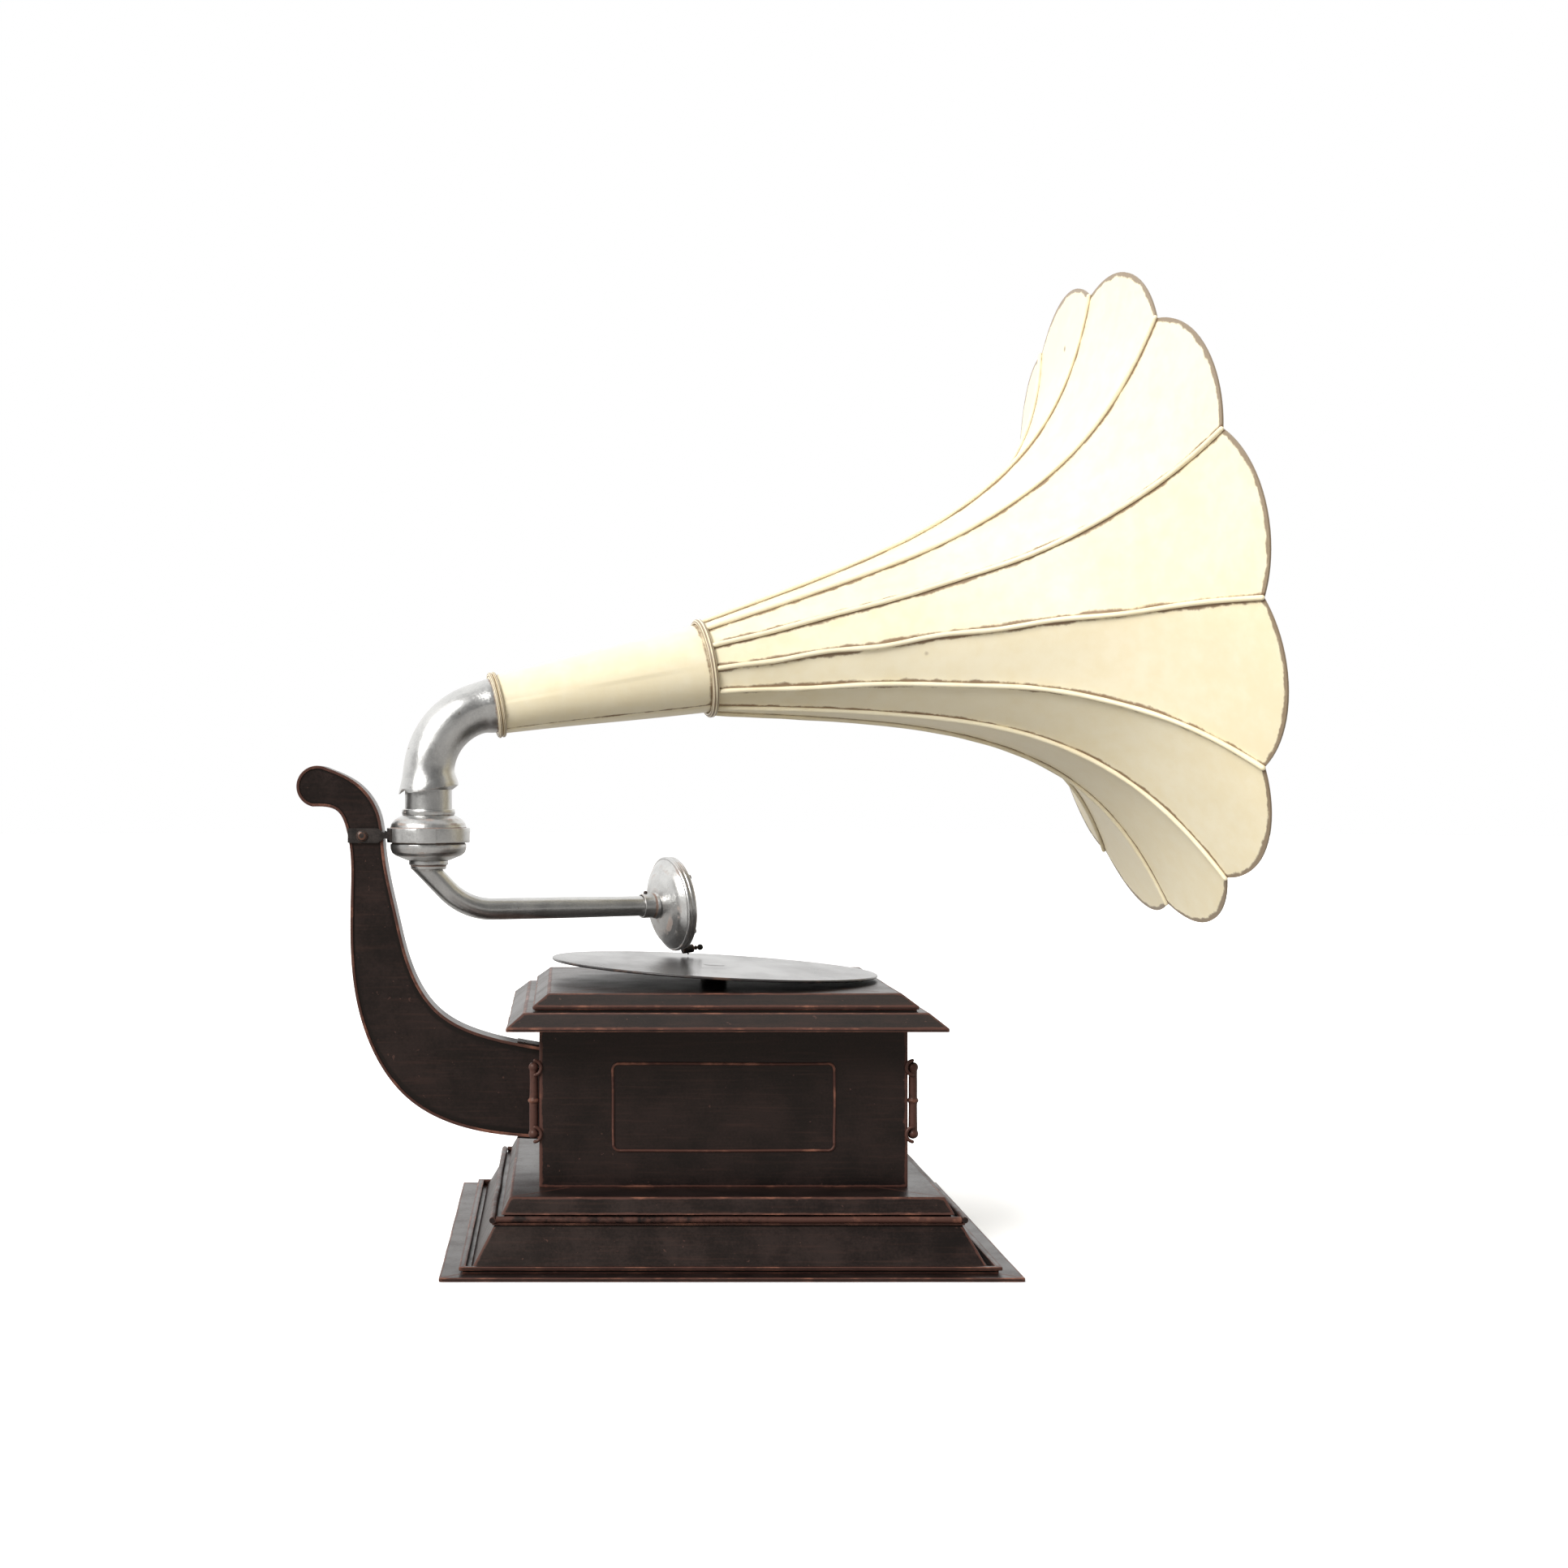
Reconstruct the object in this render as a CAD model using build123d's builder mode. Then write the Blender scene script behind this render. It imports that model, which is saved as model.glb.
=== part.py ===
"""Horn gramophone: a tinsmith's display model, built piece by piece.

Millimetres. The origin is the middle of the underside of the square plinth, +Z is up, the horn
opens towards +X and -Y is the front of the cabinet.
"""
from build123d import *
from math import cos, radians, sin, sqrt
import os

os.makedirs("parts", exist_ok=True)

# ---- Sheet and wire stock ----
SHEET = 0.8
HORN_SHEET = 0.7
RUNNING_CLEARANCE = 0.08

# ---- Plinth: square in plan, half widths ----
BASE_HALF = 90.3
BASE_THICK = 1.2
HEM_OUTER_HALF = 84.4
HEM_INNER_HALF = 82.3
HEM_TOP = 3.4
LOWER_SKIRT_FOOT_HALF = 81.1
LOWER_SKIRT_TOP_HALF = 73.6
LOWER_SKIRT_TOP = 14.6
LEDGE_HALF = 74.4
LEDGE_TOP = 15.2
EDGE_ROD_RADIUS = 1.05
EDGE_ROD_HALF = 74.2
UPPER_SKIRT_FOOT_HALF = 71.6
UPPER_SKIRT_TOP_HALF = 68.9
PLINTH_TOP = 22.5

# ---- Cabinet ----
CABINET_HALF_X = 59.8
CABINET_HALF_Y = 50.0
WALL_TOP = 74.8
PANEL_HALF_WIDTH = 36.4
PANEL_BOTTOM = 33.9
PANEL_TOP = 63.1
PANEL_CORNER = 2.4
BEAD_WIDTH = 1.0
BEAD_PROUD = 0.6
HANDLE_X = 61.6
HANDLE_Y = -48.6
HANDLE_BOTTOM = 38.0
HANDLE_TOP = 63.0
HANDLE_RADIUS = 1.25
HANDLE_BOSS_RADIUS = 1.7
EYE_RADIUS = 2.4
EYE_WIRE_RADIUS = 0.45

# ---- Lid: two stepped mouldings ----
LID_LOWER_HALF = 70.2
LID_LOWER_EDGE = 1.1
LID_LOWER_TOP_HALF = 64.6
LID_LOWER_TOP = 80.4
LID_GAP_TOP = 81.2
LID_SPACER_HALF = 61.2
LID_UPPER_HALF = 61.8
LID_UPPER_EDGE = 1.0
LID_UPPER_TOP_HALF = 56.8
LID_TOP = 86.0

# ---- Record disc on its leaning pivot ----
DISC_RADIUS = 56.0
DISC_THICK = 0.9
DISC_CENTRE_Z = 90.5
DISC_LEAN = 3.0
HUB_RADIUS = 9.0
HUB_THICK = 1.0
PIVOT_RADIUS = 1.9
PIVOT_HEAD_RADIUS = 3.6
PIVOT_SPACER_RADIUS = 4.5

# ---- Support arm: a flat hollow bracket in the middle plane ----
ARM_HALF_THICK = 7.0
ARM_EDGE_STRIP = 1.0
ARM_PLATE_INSET = 0.5

# ---- Union at the top of the arm ----
UNION_X = -98.6
BAND_RADIUS = 14.3
BAND_WALL = 0.8
BAND_BOTTOM = 133.2
BAND_TOP = 138.2
BAND_LIP_INNER = 12.5
CUP_RADIUS = 13.1
TOP_RING_BOTTOM = 142.6
TOP_RING_TOP = 144.7
TOP_RING_RADIUS = 9.0
NECK_RADIUS = 8.1
NECK_TOP = 156.4
COLLAR_RADIUS = 6.8
COLLAR_TOP = 127.0
COLLAR_BOTTOM = 124.0
STRAP_END_X = -125.8
STRAP_SCREW_X = -120.9
STRAP_SCREW_Z = 135.6
STRAP_SCREW_RADIUS = 1.2
STRAP_HEAD_RADIUS = 1.9

# ---- Elbow and horn ----
ELBOW_BOTTOM = 151.4
ELBOW_RADIUS = 8.75
ELBOW_BEND_RADIUS = 24.0
ELBOW_BORE = 7.6
ELBOW_LIP_RADIUS = 10.3
ELBOW_LIP_HEIGHT = 8.0
THROAT_RISE = 10.2
BELL_RISE = 9.0
HORN_YAW = 8.5
COLLAR_RING_RADIUS = 11.5
COLLAR_RING_WIDTH = 2.6
THROAT_LENGTH = 75.8
THROAT_START_RADIUS = 10.0
THROAT_END_RADIUS = 15.5
MID_RING_RADIUS = 17.4
MID_RING_WIDTH = 2.5
BELL_DEPTH = 158.0
BELL_TIP_DEPTH = 160.6
PETAL_COUNT = 12
PETAL_PHASE = 3.5
RIB_END_RADIUS = 110.0
PETAL_TIP_RADIUS = 117.8
RIB_HEIGHT = 1.4
RIB_HALF_WIDTH = 1.0

# ---- Tone arm and soundbox: distances run from the union's axis along the arm ----
TONEARM_YAW = 22.0
TONEARM_Z = 109.8
TONEARM_BEND_RADIUS = 24.0
TONEARM_DROP_ANGLE = 45.0
TUBE_RADIUS = 3.85
TUBE_END_RADIUS = 3.6
TUBE_WALL = 0.6
TUBE_END = 85.0
SLEEVE_START = 80.2
SLEEVE_RADIUS = 4.4
SOUNDBOX_BACK = 86.2
SOUNDBOX_TILT = 6.0
DISH_RADIUS = 16.2
DISH_DEPTH = 4.6
DISH_WALL = 0.8
RIM_RADIUS = 17.0
RIM_WIDTH = 1.6
FRONT_RING_THICK = 2.2
FRONT_RING_INNER = 13.0
DIAPHRAGM_RADIUS = 15.2
DIAPHRAGM_THICK = 0.4
NEEDLE_REACH = 98.6
NEEDLE_TIP_Z = 91.9


def save(piece, label):
    """Names the finished piece and writes its STEP file."""
    piece.part.label = label
    export_step(piece.part, f"parts/{label}.step")


def square_frustum(low_half, low_z, high_half, high_z):
    """A solid square block that narrows from one height to another."""
    with BuildPart() as block:
        with BuildSketch(Plane.XY.offset(low_z)):
            Rectangle(2 * low_half, 2 * low_half)
        with BuildSketch(Plane.XY.offset(high_z)):
            Rectangle(2 * high_half, 2 * high_half)
        loft()
    return block.part


def square_slab(half, low_z, high_z):
    """A flat square slab between two heights."""
    with BuildPart() as slab:
        with BuildSketch(Plane.XY.offset(low_z)):
            Rectangle(2 * half, 2 * half)
        extrude(amount=high_z - low_z)
    return slab.part


def turned(plane, profile_points):
    """A solid of revolution about a plane's z axis from closed (radius, height) corners."""
    meridian = Plane(origin=plane.origin, x_dir=plane.x_dir, z_dir=-plane.y_dir)
    with BuildPart() as body:
        with BuildSketch(meridian):
            with BuildLine():
                Polyline(*profile_points, close=True)
            make_face()
        revolve(axis=Axis(plane.origin, plane.z_dir))
    return body.part


# ---------------------------------------------------------------- plinth
with BuildPart() as base_plate:
    add(square_slab(BASE_HALF, 0, BASE_THICK))
save(base_plate, "base_plate")

HEM_HEAD = 1.1
HEM_FOOT_HALF = 83.4
with BuildPart() as plinth_hem:
    add(square_slab(HEM_OUTER_HALF, HEM_TOP - HEM_HEAD, HEM_TOP))
    add(square_slab(HEM_FOOT_HALF, BASE_THICK, HEM_TOP - HEM_HEAD))
    add(square_slab(HEM_INNER_HALF, BASE_THICK, HEM_TOP), mode=Mode.SUBTRACT)
save(plinth_hem, "plinth_hem")

with BuildPart() as plinth_lower_skirt:
    add(square_frustum(LOWER_SKIRT_FOOT_HALF, BASE_THICK, LOWER_SKIRT_TOP_HALF, LOWER_SKIRT_TOP))
    add(square_slab(LEDGE_HALF, LOWER_SKIRT_TOP, LEDGE_TOP))
    add(
        square_frustum(
            LOWER_SKIRT_FOOT_HALF - SHEET, BASE_THICK, LOWER_SKIRT_TOP_HALF - SHEET, LOWER_SKIRT_TOP
        ),
        mode=Mode.SUBTRACT,
    )
    add(square_slab(UPPER_SKIRT_TOP_HALF - 4, LOWER_SKIRT_TOP, LEDGE_TOP), mode=Mode.SUBTRACT)
save(plinth_lower_skirt, "plinth_lower_skirt")

# The side rods run the full depth and show their ends; the front and rear rods butt between them.
ROD_CENTRE_Z = LEDGE_TOP + EDGE_ROD_RADIUS
with BuildPart() as plinth_edge_rods:
    for side in (-1, 1):
        with BuildSketch(Plane.XZ.offset(-EDGE_ROD_HALF - EDGE_ROD_RADIUS)):
            with Locations((side * EDGE_ROD_HALF, ROD_CENTRE_Z)):
                Circle(EDGE_ROD_RADIUS)
        extrude(amount=2 * (EDGE_ROD_HALF + EDGE_ROD_RADIUS))
        with BuildSketch(Plane.YZ.offset(-EDGE_ROD_HALF + EDGE_ROD_RADIUS)):
            with Locations((side * EDGE_ROD_HALF, ROD_CENTRE_Z)):
                Circle(EDGE_ROD_RADIUS)
        extrude(amount=2 * (EDGE_ROD_HALF - EDGE_ROD_RADIUS))
save(plinth_edge_rods, "plinth_edge_rods")

UPPER_SKIRT_FOOT = 17.3
UPPER_SKIRT_NECK_HALF = 70.6
with BuildPart() as plinth_upper_skirt:
    add(square_frustum(UPPER_SKIRT_FOOT_HALF, UPPER_SKIRT_FOOT, UPPER_SKIRT_TOP_HALF, PLINTH_TOP))
    add(square_slab(UPPER_SKIRT_NECK_HALF, LEDGE_TOP, UPPER_SKIRT_FOOT))
    add(
        square_frustum(
            UPPER_SKIRT_NECK_HALF - SHEET, LEDGE_TOP, UPPER_SKIRT_TOP_HALF - SHEET, PLINTH_TOP - SHEET
        ),
        mode=Mode.SUBTRACT,
    )
save(plinth_upper_skirt, "plinth_upper_skirt")

# ---------------------------------------------------------------- cabinet walls
WALL_HEIGHT = WALL_TOP - PLINTH_TOP
WALL_MIDDLE = PLINTH_TOP + WALL_HEIGHT / 2
for label, front_or_back in (("front_wall", -1), ("back_wall", 1)):
    with BuildPart() as wall:
        with Locations((0, front_or_back * (CABINET_HALF_Y - SHEET / 2), WALL_MIDDLE)):
            Box(2 * CABINET_HALF_X, SHEET, WALL_HEIGHT)
    save(wall, label)

for label, left_or_right in (("left_wall", -1), ("right_wall", 1)):
    with BuildPart() as wall:
        with Locations((left_or_right * (CABINET_HALF_X - SHEET / 2), 0, WALL_MIDDLE)):
            Box(SHEET, 2 * (CABINET_HALF_Y - SHEET), WALL_HEIGHT)
    save(wall, label)


def panel_bead(plane, half_width):
    """A raised wire rectangle with rounded corners, lying on a wall's outer face."""
    height = PANEL_TOP - PANEL_BOTTOM
    with BuildPart() as bead:
        with BuildSketch(plane):
            with Locations((0, PANEL_BOTTOM + height / 2)):
                RectangleRounded(2 * half_width, height, PANEL_CORNER)
                RectangleRounded(
                    2 * (half_width - BEAD_WIDTH),
                    height - 2 * BEAD_WIDTH,
                    PANEL_CORNER - BEAD_WIDTH,
                    mode=Mode.SUBTRACT,
                )
        extrude(amount=BEAD_PROUD)
    return bead.part


front_face_plane = Plane(origin=(0, -CABINET_HALF_Y, 0), x_dir=(1, 0, 0), z_dir=(0, -1, 0))
back_face_plane = Plane(origin=(0, CABINET_HALF_Y, 0), x_dir=(-1, 0, 0), z_dir=(0, 1, 0))
with BuildPart() as panel_beads:
    add(panel_bead(front_face_plane, PANEL_HALF_WIDTH))
    add(panel_bead(back_face_plane, PANEL_HALF_WIDTH))
save(panel_beads, "panel_beads")

# ---------------------------------------------------------------- handles
HANDLE_SWELL_RADIUS = 1.75
HANDLE_SWELL_HALF = 2.4
HANDLE_FOOT_RADIUS = 0.8
EYE_OPENING = 80
handle_middle = (HANDLE_BOTTOM + HANDLE_TOP) / 2
handle_end_heights = (HANDLE_BOTTOM + HANDLE_BOSS_RADIUS, HANDLE_TOP - HANDLE_BOSS_RADIUS)

for label, side in (("left_handle", -1), ("right_handle", 1)):
    with BuildPart() as handle:
        with Locations((side * HANDLE_X, HANDLE_Y, handle_middle)):
            Cylinder(HANDLE_RADIUS, handle_end_heights[1] - handle_end_heights[0])
        with BuildSketch(Plane.XZ.offset(-HANDLE_Y)):
            with BuildLine():
                swell_foot = (side * HANDLE_X, handle_middle - HANDLE_SWELL_HALF)
                swell_head = (side * HANDLE_X, handle_middle + HANDLE_SWELL_HALF)
                ThreePointArc(
                    swell_foot, (side * (HANDLE_X + HANDLE_SWELL_RADIUS), handle_middle), swell_head
                )
                Line(swell_head, swell_foot)
            make_face()
        revolve(axis=Axis((side * HANDLE_X, HANDLE_Y, 0), (0, 0, 1)))
        for end_height in handle_end_heights:
            with Locations((side * HANDLE_X, HANDLE_Y, end_height)):
                Sphere(HANDLE_BOSS_RADIUS)
            with BuildSketch(Plane.YZ.offset(side * CABINET_HALF_X)):
                with Locations((HANDLE_Y, end_height)):
                    Circle(HANDLE_FOOT_RADIUS)
            extrude(amount=side * (HANDLE_X - CABINET_HALF_X))
    save(handle, label)

with BuildPart() as handle_eyes:
    for side in (-1, 1):
        for end_height in handle_end_heights:
            eye_plane = Plane(
                origin=(side * HANDLE_X, -CABINET_HALF_Y - EYE_WIRE_RADIUS, end_height),
                x_dir=(-side, 0, 0),
                z_dir=(0, side, 0),
            )
            with BuildLine(eye_plane):
                eye_curve = CenterArc((0, 0), EYE_RADIUS, -EYE_OPENING, 2 * EYE_OPENING)
            with BuildSketch(Plane(origin=eye_curve @ 0, z_dir=eye_curve % 0)):
                Circle(EYE_WIRE_RADIUS)
            sweep(path=eye_curve)
save(handle_eyes, "handle_eyes")

# ---------------------------------------------------------------- lid
with BuildPart() as lid_lower_moulding:
    add(square_slab(LID_LOWER_HALF, WALL_TOP, WALL_TOP + LID_LOWER_EDGE))
    add(
        square_frustum(
            LID_LOWER_HALF, WALL_TOP + LID_LOWER_EDGE, LID_LOWER_TOP_HALF, LID_LOWER_TOP
        )
    )
    add(
        square_frustum(
            LID_LOWER_HALF - 1.6, WALL_TOP + SHEET, LID_LOWER_TOP_HALF - 1.4, LID_LOWER_TOP - SHEET
        ),
        mode=Mode.SUBTRACT,
    )
    with BuildSketch(Plane.XY.offset(WALL_TOP)):
        Rectangle(2 * (CABINET_HALF_X - 2), 2 * (CABINET_HALF_Y - 2))
    extrude(amount=SHEET, mode=Mode.SUBTRACT)
    add(square_slab(LID_SPACER_HALF, LID_LOWER_TOP, LID_GAP_TOP))
save(lid_lower_moulding, "lid_lower_moulding")

disc_plane = Plane(origin=(0, 0, DISC_CENTRE_Z), x_dir=(1, 0, 0), z_dir=(0, 0, 1)).rotated(
    (0, DISC_LEAN, 0)
)
PIVOT_NUT_DEPTH = -9.0

with BuildPart() as lid_upper_moulding:
    add(square_slab(LID_UPPER_HALF, LID_GAP_TOP, LID_GAP_TOP + LID_UPPER_EDGE))
    add(square_frustum(LID_UPPER_HALF, LID_GAP_TOP + LID_UPPER_EDGE, LID_UPPER_TOP_HALF, LID_TOP))
    add(
        square_frustum(LID_UPPER_HALF - 1.2, LID_GAP_TOP, LID_UPPER_TOP_HALF - 1.2, LID_TOP - SHEET),
        mode=Mode.SUBTRACT,
    )
    with BuildSketch(disc_plane.offset(PIVOT_NUT_DEPTH)):
        Circle(PIVOT_RADIUS)
    extrude(amount=-PIVOT_NUT_DEPTH, mode=Mode.SUBTRACT)
save(lid_upper_moulding, "lid_upper_moulding")

# ---------------------------------------------------------------- record disc and its pivot
half_disc = DISC_THICK / 2
hub_bottom = -half_disc - HUB_THICK
head_depth = 0.8
disc_bore = PIVOT_RADIUS + RUNNING_CLEARANCE
head_bore = PIVOT_HEAD_RADIUS + RUNNING_CLEARANCE
with BuildPart() as turntable_disc:
    add(
        turned(
            disc_plane,
            (
                (head_bore, half_disc),
                (DISC_RADIUS - 0.3, half_disc),
                (DISC_RADIUS, half_disc - 0.3),
                (DISC_RADIUS, 0.3 - half_disc),
                (DISC_RADIUS - 0.3, -half_disc),
                (disc_bore, -half_disc),
                (disc_bore, half_disc - head_depth),
            ),
        )
    )
save(turntable_disc, "turntable_disc")

with BuildPart() as disc_hub:
    add(
        turned(
            disc_plane,
            (
                (disc_bore, hub_bottom),
                (HUB_RADIUS, hub_bottom),
                (HUB_RADIUS, -half_disc),
                (disc_bore, -half_disc),
            ),
        )
    )
save(disc_hub, "disc_hub")

with BuildPart() as pivot_spacer:
    with BuildSketch(disc_plane.offset(hub_bottom - 0.05)):
        Circle(PIVOT_SPACER_RADIUS)
        Circle(PIVOT_RADIUS, mode=Mode.SUBTRACT)
    extrude(amount=-6)
    split(bisect_by=Plane.XY.offset(LID_TOP), keep=Keep.TOP)
save(pivot_spacer, "pivot_spacer")

head_gap = 0.05
with BuildPart() as pivot_screw:
    add(
        turned(
            disc_plane,
            (
                (0, PIVOT_NUT_DEPTH),
                (PIVOT_RADIUS, PIVOT_NUT_DEPTH),
                (PIVOT_RADIUS, half_disc - head_depth + head_gap),
                (PIVOT_HEAD_RADIUS, half_disc + head_gap),
                (0, half_disc + head_gap + 0.15),
            ),
        )
    )
save(pivot_screw, "pivot_screw")

NUT_ACROSS = 6.0
NUT_THICK = 2.4
with BuildPart() as pivot_nut:
    with BuildSketch(disc_plane.offset(PIVOT_NUT_DEPTH + 0.8)):
        RegularPolygon(NUT_ACROSS / 2, 6, major_radius=False)
        Circle(PIVOT_RADIUS, mode=Mode.SUBTRACT)
    extrude(amount=4)
    split(bisect_by=Plane.XY.offset(LID_TOP - SHEET), keep=Keep.BOTTOM)

# ---------------------------------------------------------------- support arm
WALL_X = -CABINET_HALF_X
arm_root_bottom = (WALL_X, 32.2)
arm_root_top = (WALL_X, 63.2)
hook_underside = (-137.9, 145.6)
hook_tip = (-145.4, 152.2)
hook_crown = (-134.0, 159.2)
arm_back_curve = (
    arm_root_bottom,
    (-83.2, 35.1),
    (-104.6, 45.1),
    (-118.7, 65.3),
    (-124.4, 90.0),
    (-124.8, 116.4),
    (-126.1, 137.0),
    (-129.6, 144.2),
    hook_underside,
)
arm_front_curve = (
    hook_crown,
    (-122.6, 153.6),
    (-115.2, 143.0),
    (-113.5, 131.0),
    (-109.3, 109.2),
    (-103.9, 89.4),
    (-94.6, 75.3),
    (-78.5, 67.2),
    arm_root_top,
)


def inset_curve(points, inset, samples=14):
    """Points along the spline through these corners, moved this far to its left."""
    curve = Edge.make_spline([Vector(*point) for point in points])
    moved = []
    for step in range(samples + 1):
        tangent = curve.tangent_at(step / samples)
        moved.append(curve.position_at(step / samples) + Vector(-tangent.Y, tangent.X) * inset)
    return moved


def arm_face(inset):
    """The arm's outline, drawn in this far from its edges all round except at the wall."""
    back_points = inset_curve(arm_back_curve[::-1], inset)
    front_points = inset_curve(arm_front_curve[::-1], inset)
    back_points[-1] = Vector(WALL_X, back_points[-1].Y)
    front_points[0] = Vector(WALL_X, front_points[0].Y)
    with BuildSketch() as face:
        with BuildLine():
            Spline(*back_points)
            Spline(*front_points)
            ThreePointArc(front_points[-1], (hook_tip[0] + inset, hook_tip[1]), back_points[0])
            Line(back_points[-1], front_points[0])
        make_face()
    return face.sketch


arm_outline = arm_face(0)
arm_inner_outline = arm_face(ARM_EDGE_STRIP)


def wall_plane(depth):
    """The arm's own plane, at this depth behind the middle."""
    return Plane(origin=(0, depth, 0), x_dir=(1, 0, 0), z_dir=(0, -1, 0))


strap_screw_plane = Plane(origin=(STRAP_SCREW_X, 0, STRAP_SCREW_Z), z_dir=(0, -1, 0))
with BuildPart() as arm_edge_strip:
    with BuildSketch(wall_plane(ARM_HALF_THICK)):
        add(arm_outline)
        add(arm_inner_outline, mode=Mode.SUBTRACT)
    extrude(amount=2 * ARM_HALF_THICK)
save(arm_edge_strip, "arm_edge_strip")

for label, depth in (
    ("arm_front_plate", -ARM_HALF_THICK + ARM_PLATE_INSET + SHEET),
    ("arm_back_plate", ARM_HALF_THICK - ARM_PLATE_INSET),
):
    with BuildPart() as arm_plate:
        with BuildSketch(wall_plane(depth)):
            add(arm_inner_outline)
        extrude(amount=SHEET)
        with BuildSketch(strap_screw_plane.offset(-20)):
            Circle(STRAP_SCREW_RADIUS)
        extrude(amount=40, mode=Mode.SUBTRACT)
    save(arm_plate, label)

ROOT_TAB_LENGTH = 8.0
ROOT_TAB_HALF_WIDTH = 5.0
ROOT_TAB_THICK = 0.6
tab_outline = arm_face(-ROOT_TAB_THICK)
with BuildPart() as arm_root_tabs:
    with BuildSketch(wall_plane(ROOT_TAB_HALF_WIDTH)):
        add(tab_outline)
        add(arm_outline, mode=Mode.SUBTRACT)
        with Locations((WALL_X - ROOT_TAB_LENGTH / 2, arm_root_top[1])):
            Rectangle(ROOT_TAB_LENGTH, 80, mode=Mode.INTERSECT)
    extrude(amount=2 * ROOT_TAB_HALF_WIDTH)
save(arm_root_tabs, "arm_root_tabs")

# ---------------------------------------------------------------- strap, screw and union band
union_plane = Plane(origin=(UNION_X, 0, 0), x_dir=(0, -1, 0), z_dir=(0, 0, 1))
LIP = 0.8
with BuildPart() as strap_clamp:
    add(
        turned(
            union_plane,
            (
                (BAND_LIP_INNER, BAND_BOTTOM),
                (BAND_RADIUS, BAND_BOTTOM),
                (BAND_RADIUS, BAND_TOP),
                (BAND_RADIUS - BAND_WALL, BAND_TOP),
                (BAND_RADIUS - BAND_WALL, BAND_BOTTOM + LIP),
                (BAND_LIP_INNER, BAND_BOTTOM + LIP),
            ),
        )
    )
    for side in (-1, 1):
        lug_face = side * ARM_HALF_THICK
        reach = sqrt((BAND_RADIUS - BAND_WALL / 2) ** 2 - ARM_HALF_THICK**2)
        lug_end_x = UNION_X - reach
        with BuildSketch(Plane.XY.offset(BAND_BOTTOM)):
            with Locations(((STRAP_END_X + lug_end_x) / 2, lug_face + side * SHEET / 2)):
                Rectangle(lug_end_x - STRAP_END_X, SHEET)
        extrude(amount=BAND_TOP - BAND_BOTTOM)
    with BuildSketch(strap_screw_plane.offset(-20)):
        Circle(STRAP_SCREW_RADIUS)
    extrude(amount=40, mode=Mode.SUBTRACT)
save(strap_clamp, "strap_clamp")

STRAP_FACE = ARM_HALF_THICK + SHEET
HEAD_HEIGHT = 1.0
with BuildPart() as strap_screw:
    add(
        turned(
            strap_screw_plane,
            (
                (0, STRAP_FACE + HEAD_HEIGHT),
                (STRAP_HEAD_RADIUS * 0.6, STRAP_FACE + HEAD_HEIGHT),
                (STRAP_HEAD_RADIUS, STRAP_FACE + HEAD_HEIGHT / 2),
                (STRAP_HEAD_RADIUS, STRAP_FACE),
                (STRAP_SCREW_RADIUS, STRAP_FACE),
                (STRAP_SCREW_RADIUS, -STRAP_FACE - 2.2),
                (0, -STRAP_FACE - 2.2),
            ),
        )
    )
save(strap_screw, "strap_screw")

with BuildPart() as hex_nuts:
    add(pivot_nut.part)
    with BuildSketch(strap_screw_plane.offset(-STRAP_FACE)):
        RegularPolygon(STRAP_HEAD_RADIUS + 0.2, 6, major_radius=False)
        Circle(STRAP_SCREW_RADIUS, mode=Mode.SUBTRACT)
    extrude(amount=-1.5)
save(hex_nuts, "hex_nuts")

OVERLAP_PLATE_HALF_ANGLE = 13
OVERLAP_PLATE_THICK = 0.5
with BuildPart() as band_overlap_plate:
    with BuildSketch(union_plane):
        with BuildLine():
            inner = CenterArc(
                (0, 0), BAND_RADIUS, -OVERLAP_PLATE_HALF_ANGLE, 2 * OVERLAP_PLATE_HALF_ANGLE
            )
            outer = CenterArc(
                (0, 0),
                BAND_RADIUS + OVERLAP_PLATE_THICK,
                -OVERLAP_PLATE_HALF_ANGLE,
                2 * OVERLAP_PLATE_HALF_ANGLE,
            )
            Line(inner @ 0, outer @ 0)
            Line(inner @ 1, outer @ 1)
        make_face()
    extrude(amount=BAND_TOP)
    split(bisect_by=Plane.XY.offset(BAND_BOTTOM), keep=Keep.TOP)
save(band_overlap_plate, "band_overlap_plate")

# ---------------------------------------------------------------- union cups, ring and neck
CUP_FLANGE = BAND_RADIUS - BAND_WALL
with BuildPart() as union_upper_cup:
    add(
        turned(
            union_plane,
            (
                (CUP_FLANGE, 136.0),
                (CUP_FLANGE, BAND_TOP),
                (CUP_RADIUS, BAND_TOP),
                (CUP_RADIUS - 0.3, 139.6),
                (CUP_RADIUS - 1.6, 141.2),
                (TOP_RING_RADIUS, TOP_RING_BOTTOM),
                (NECK_RADIUS, TOP_RING_BOTTOM),
                (NECK_RADIUS, TOP_RING_BOTTOM - 1.0),
                (CUP_RADIUS - 2.2, 140.4),
                (CUP_RADIUS - 1.1, 139.2),
                (CUP_RADIUS - 0.9, 136.0),
            ),
        )
    )
save(union_upper_cup, "union_upper_cup")

with BuildPart() as union_top_ring:
    add(
        turned(
            union_plane,
            (
                (NECK_RADIUS, TOP_RING_BOTTOM),
                (TOP_RING_RADIUS, TOP_RING_BOTTOM),
                (TOP_RING_RADIUS + 0.2, (TOP_RING_BOTTOM + TOP_RING_TOP) / 2),
                (TOP_RING_RADIUS, TOP_RING_TOP),
                (NECK_RADIUS, TOP_RING_TOP),
            ),
        )
    )
save(union_top_ring, "union_top_ring")

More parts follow.
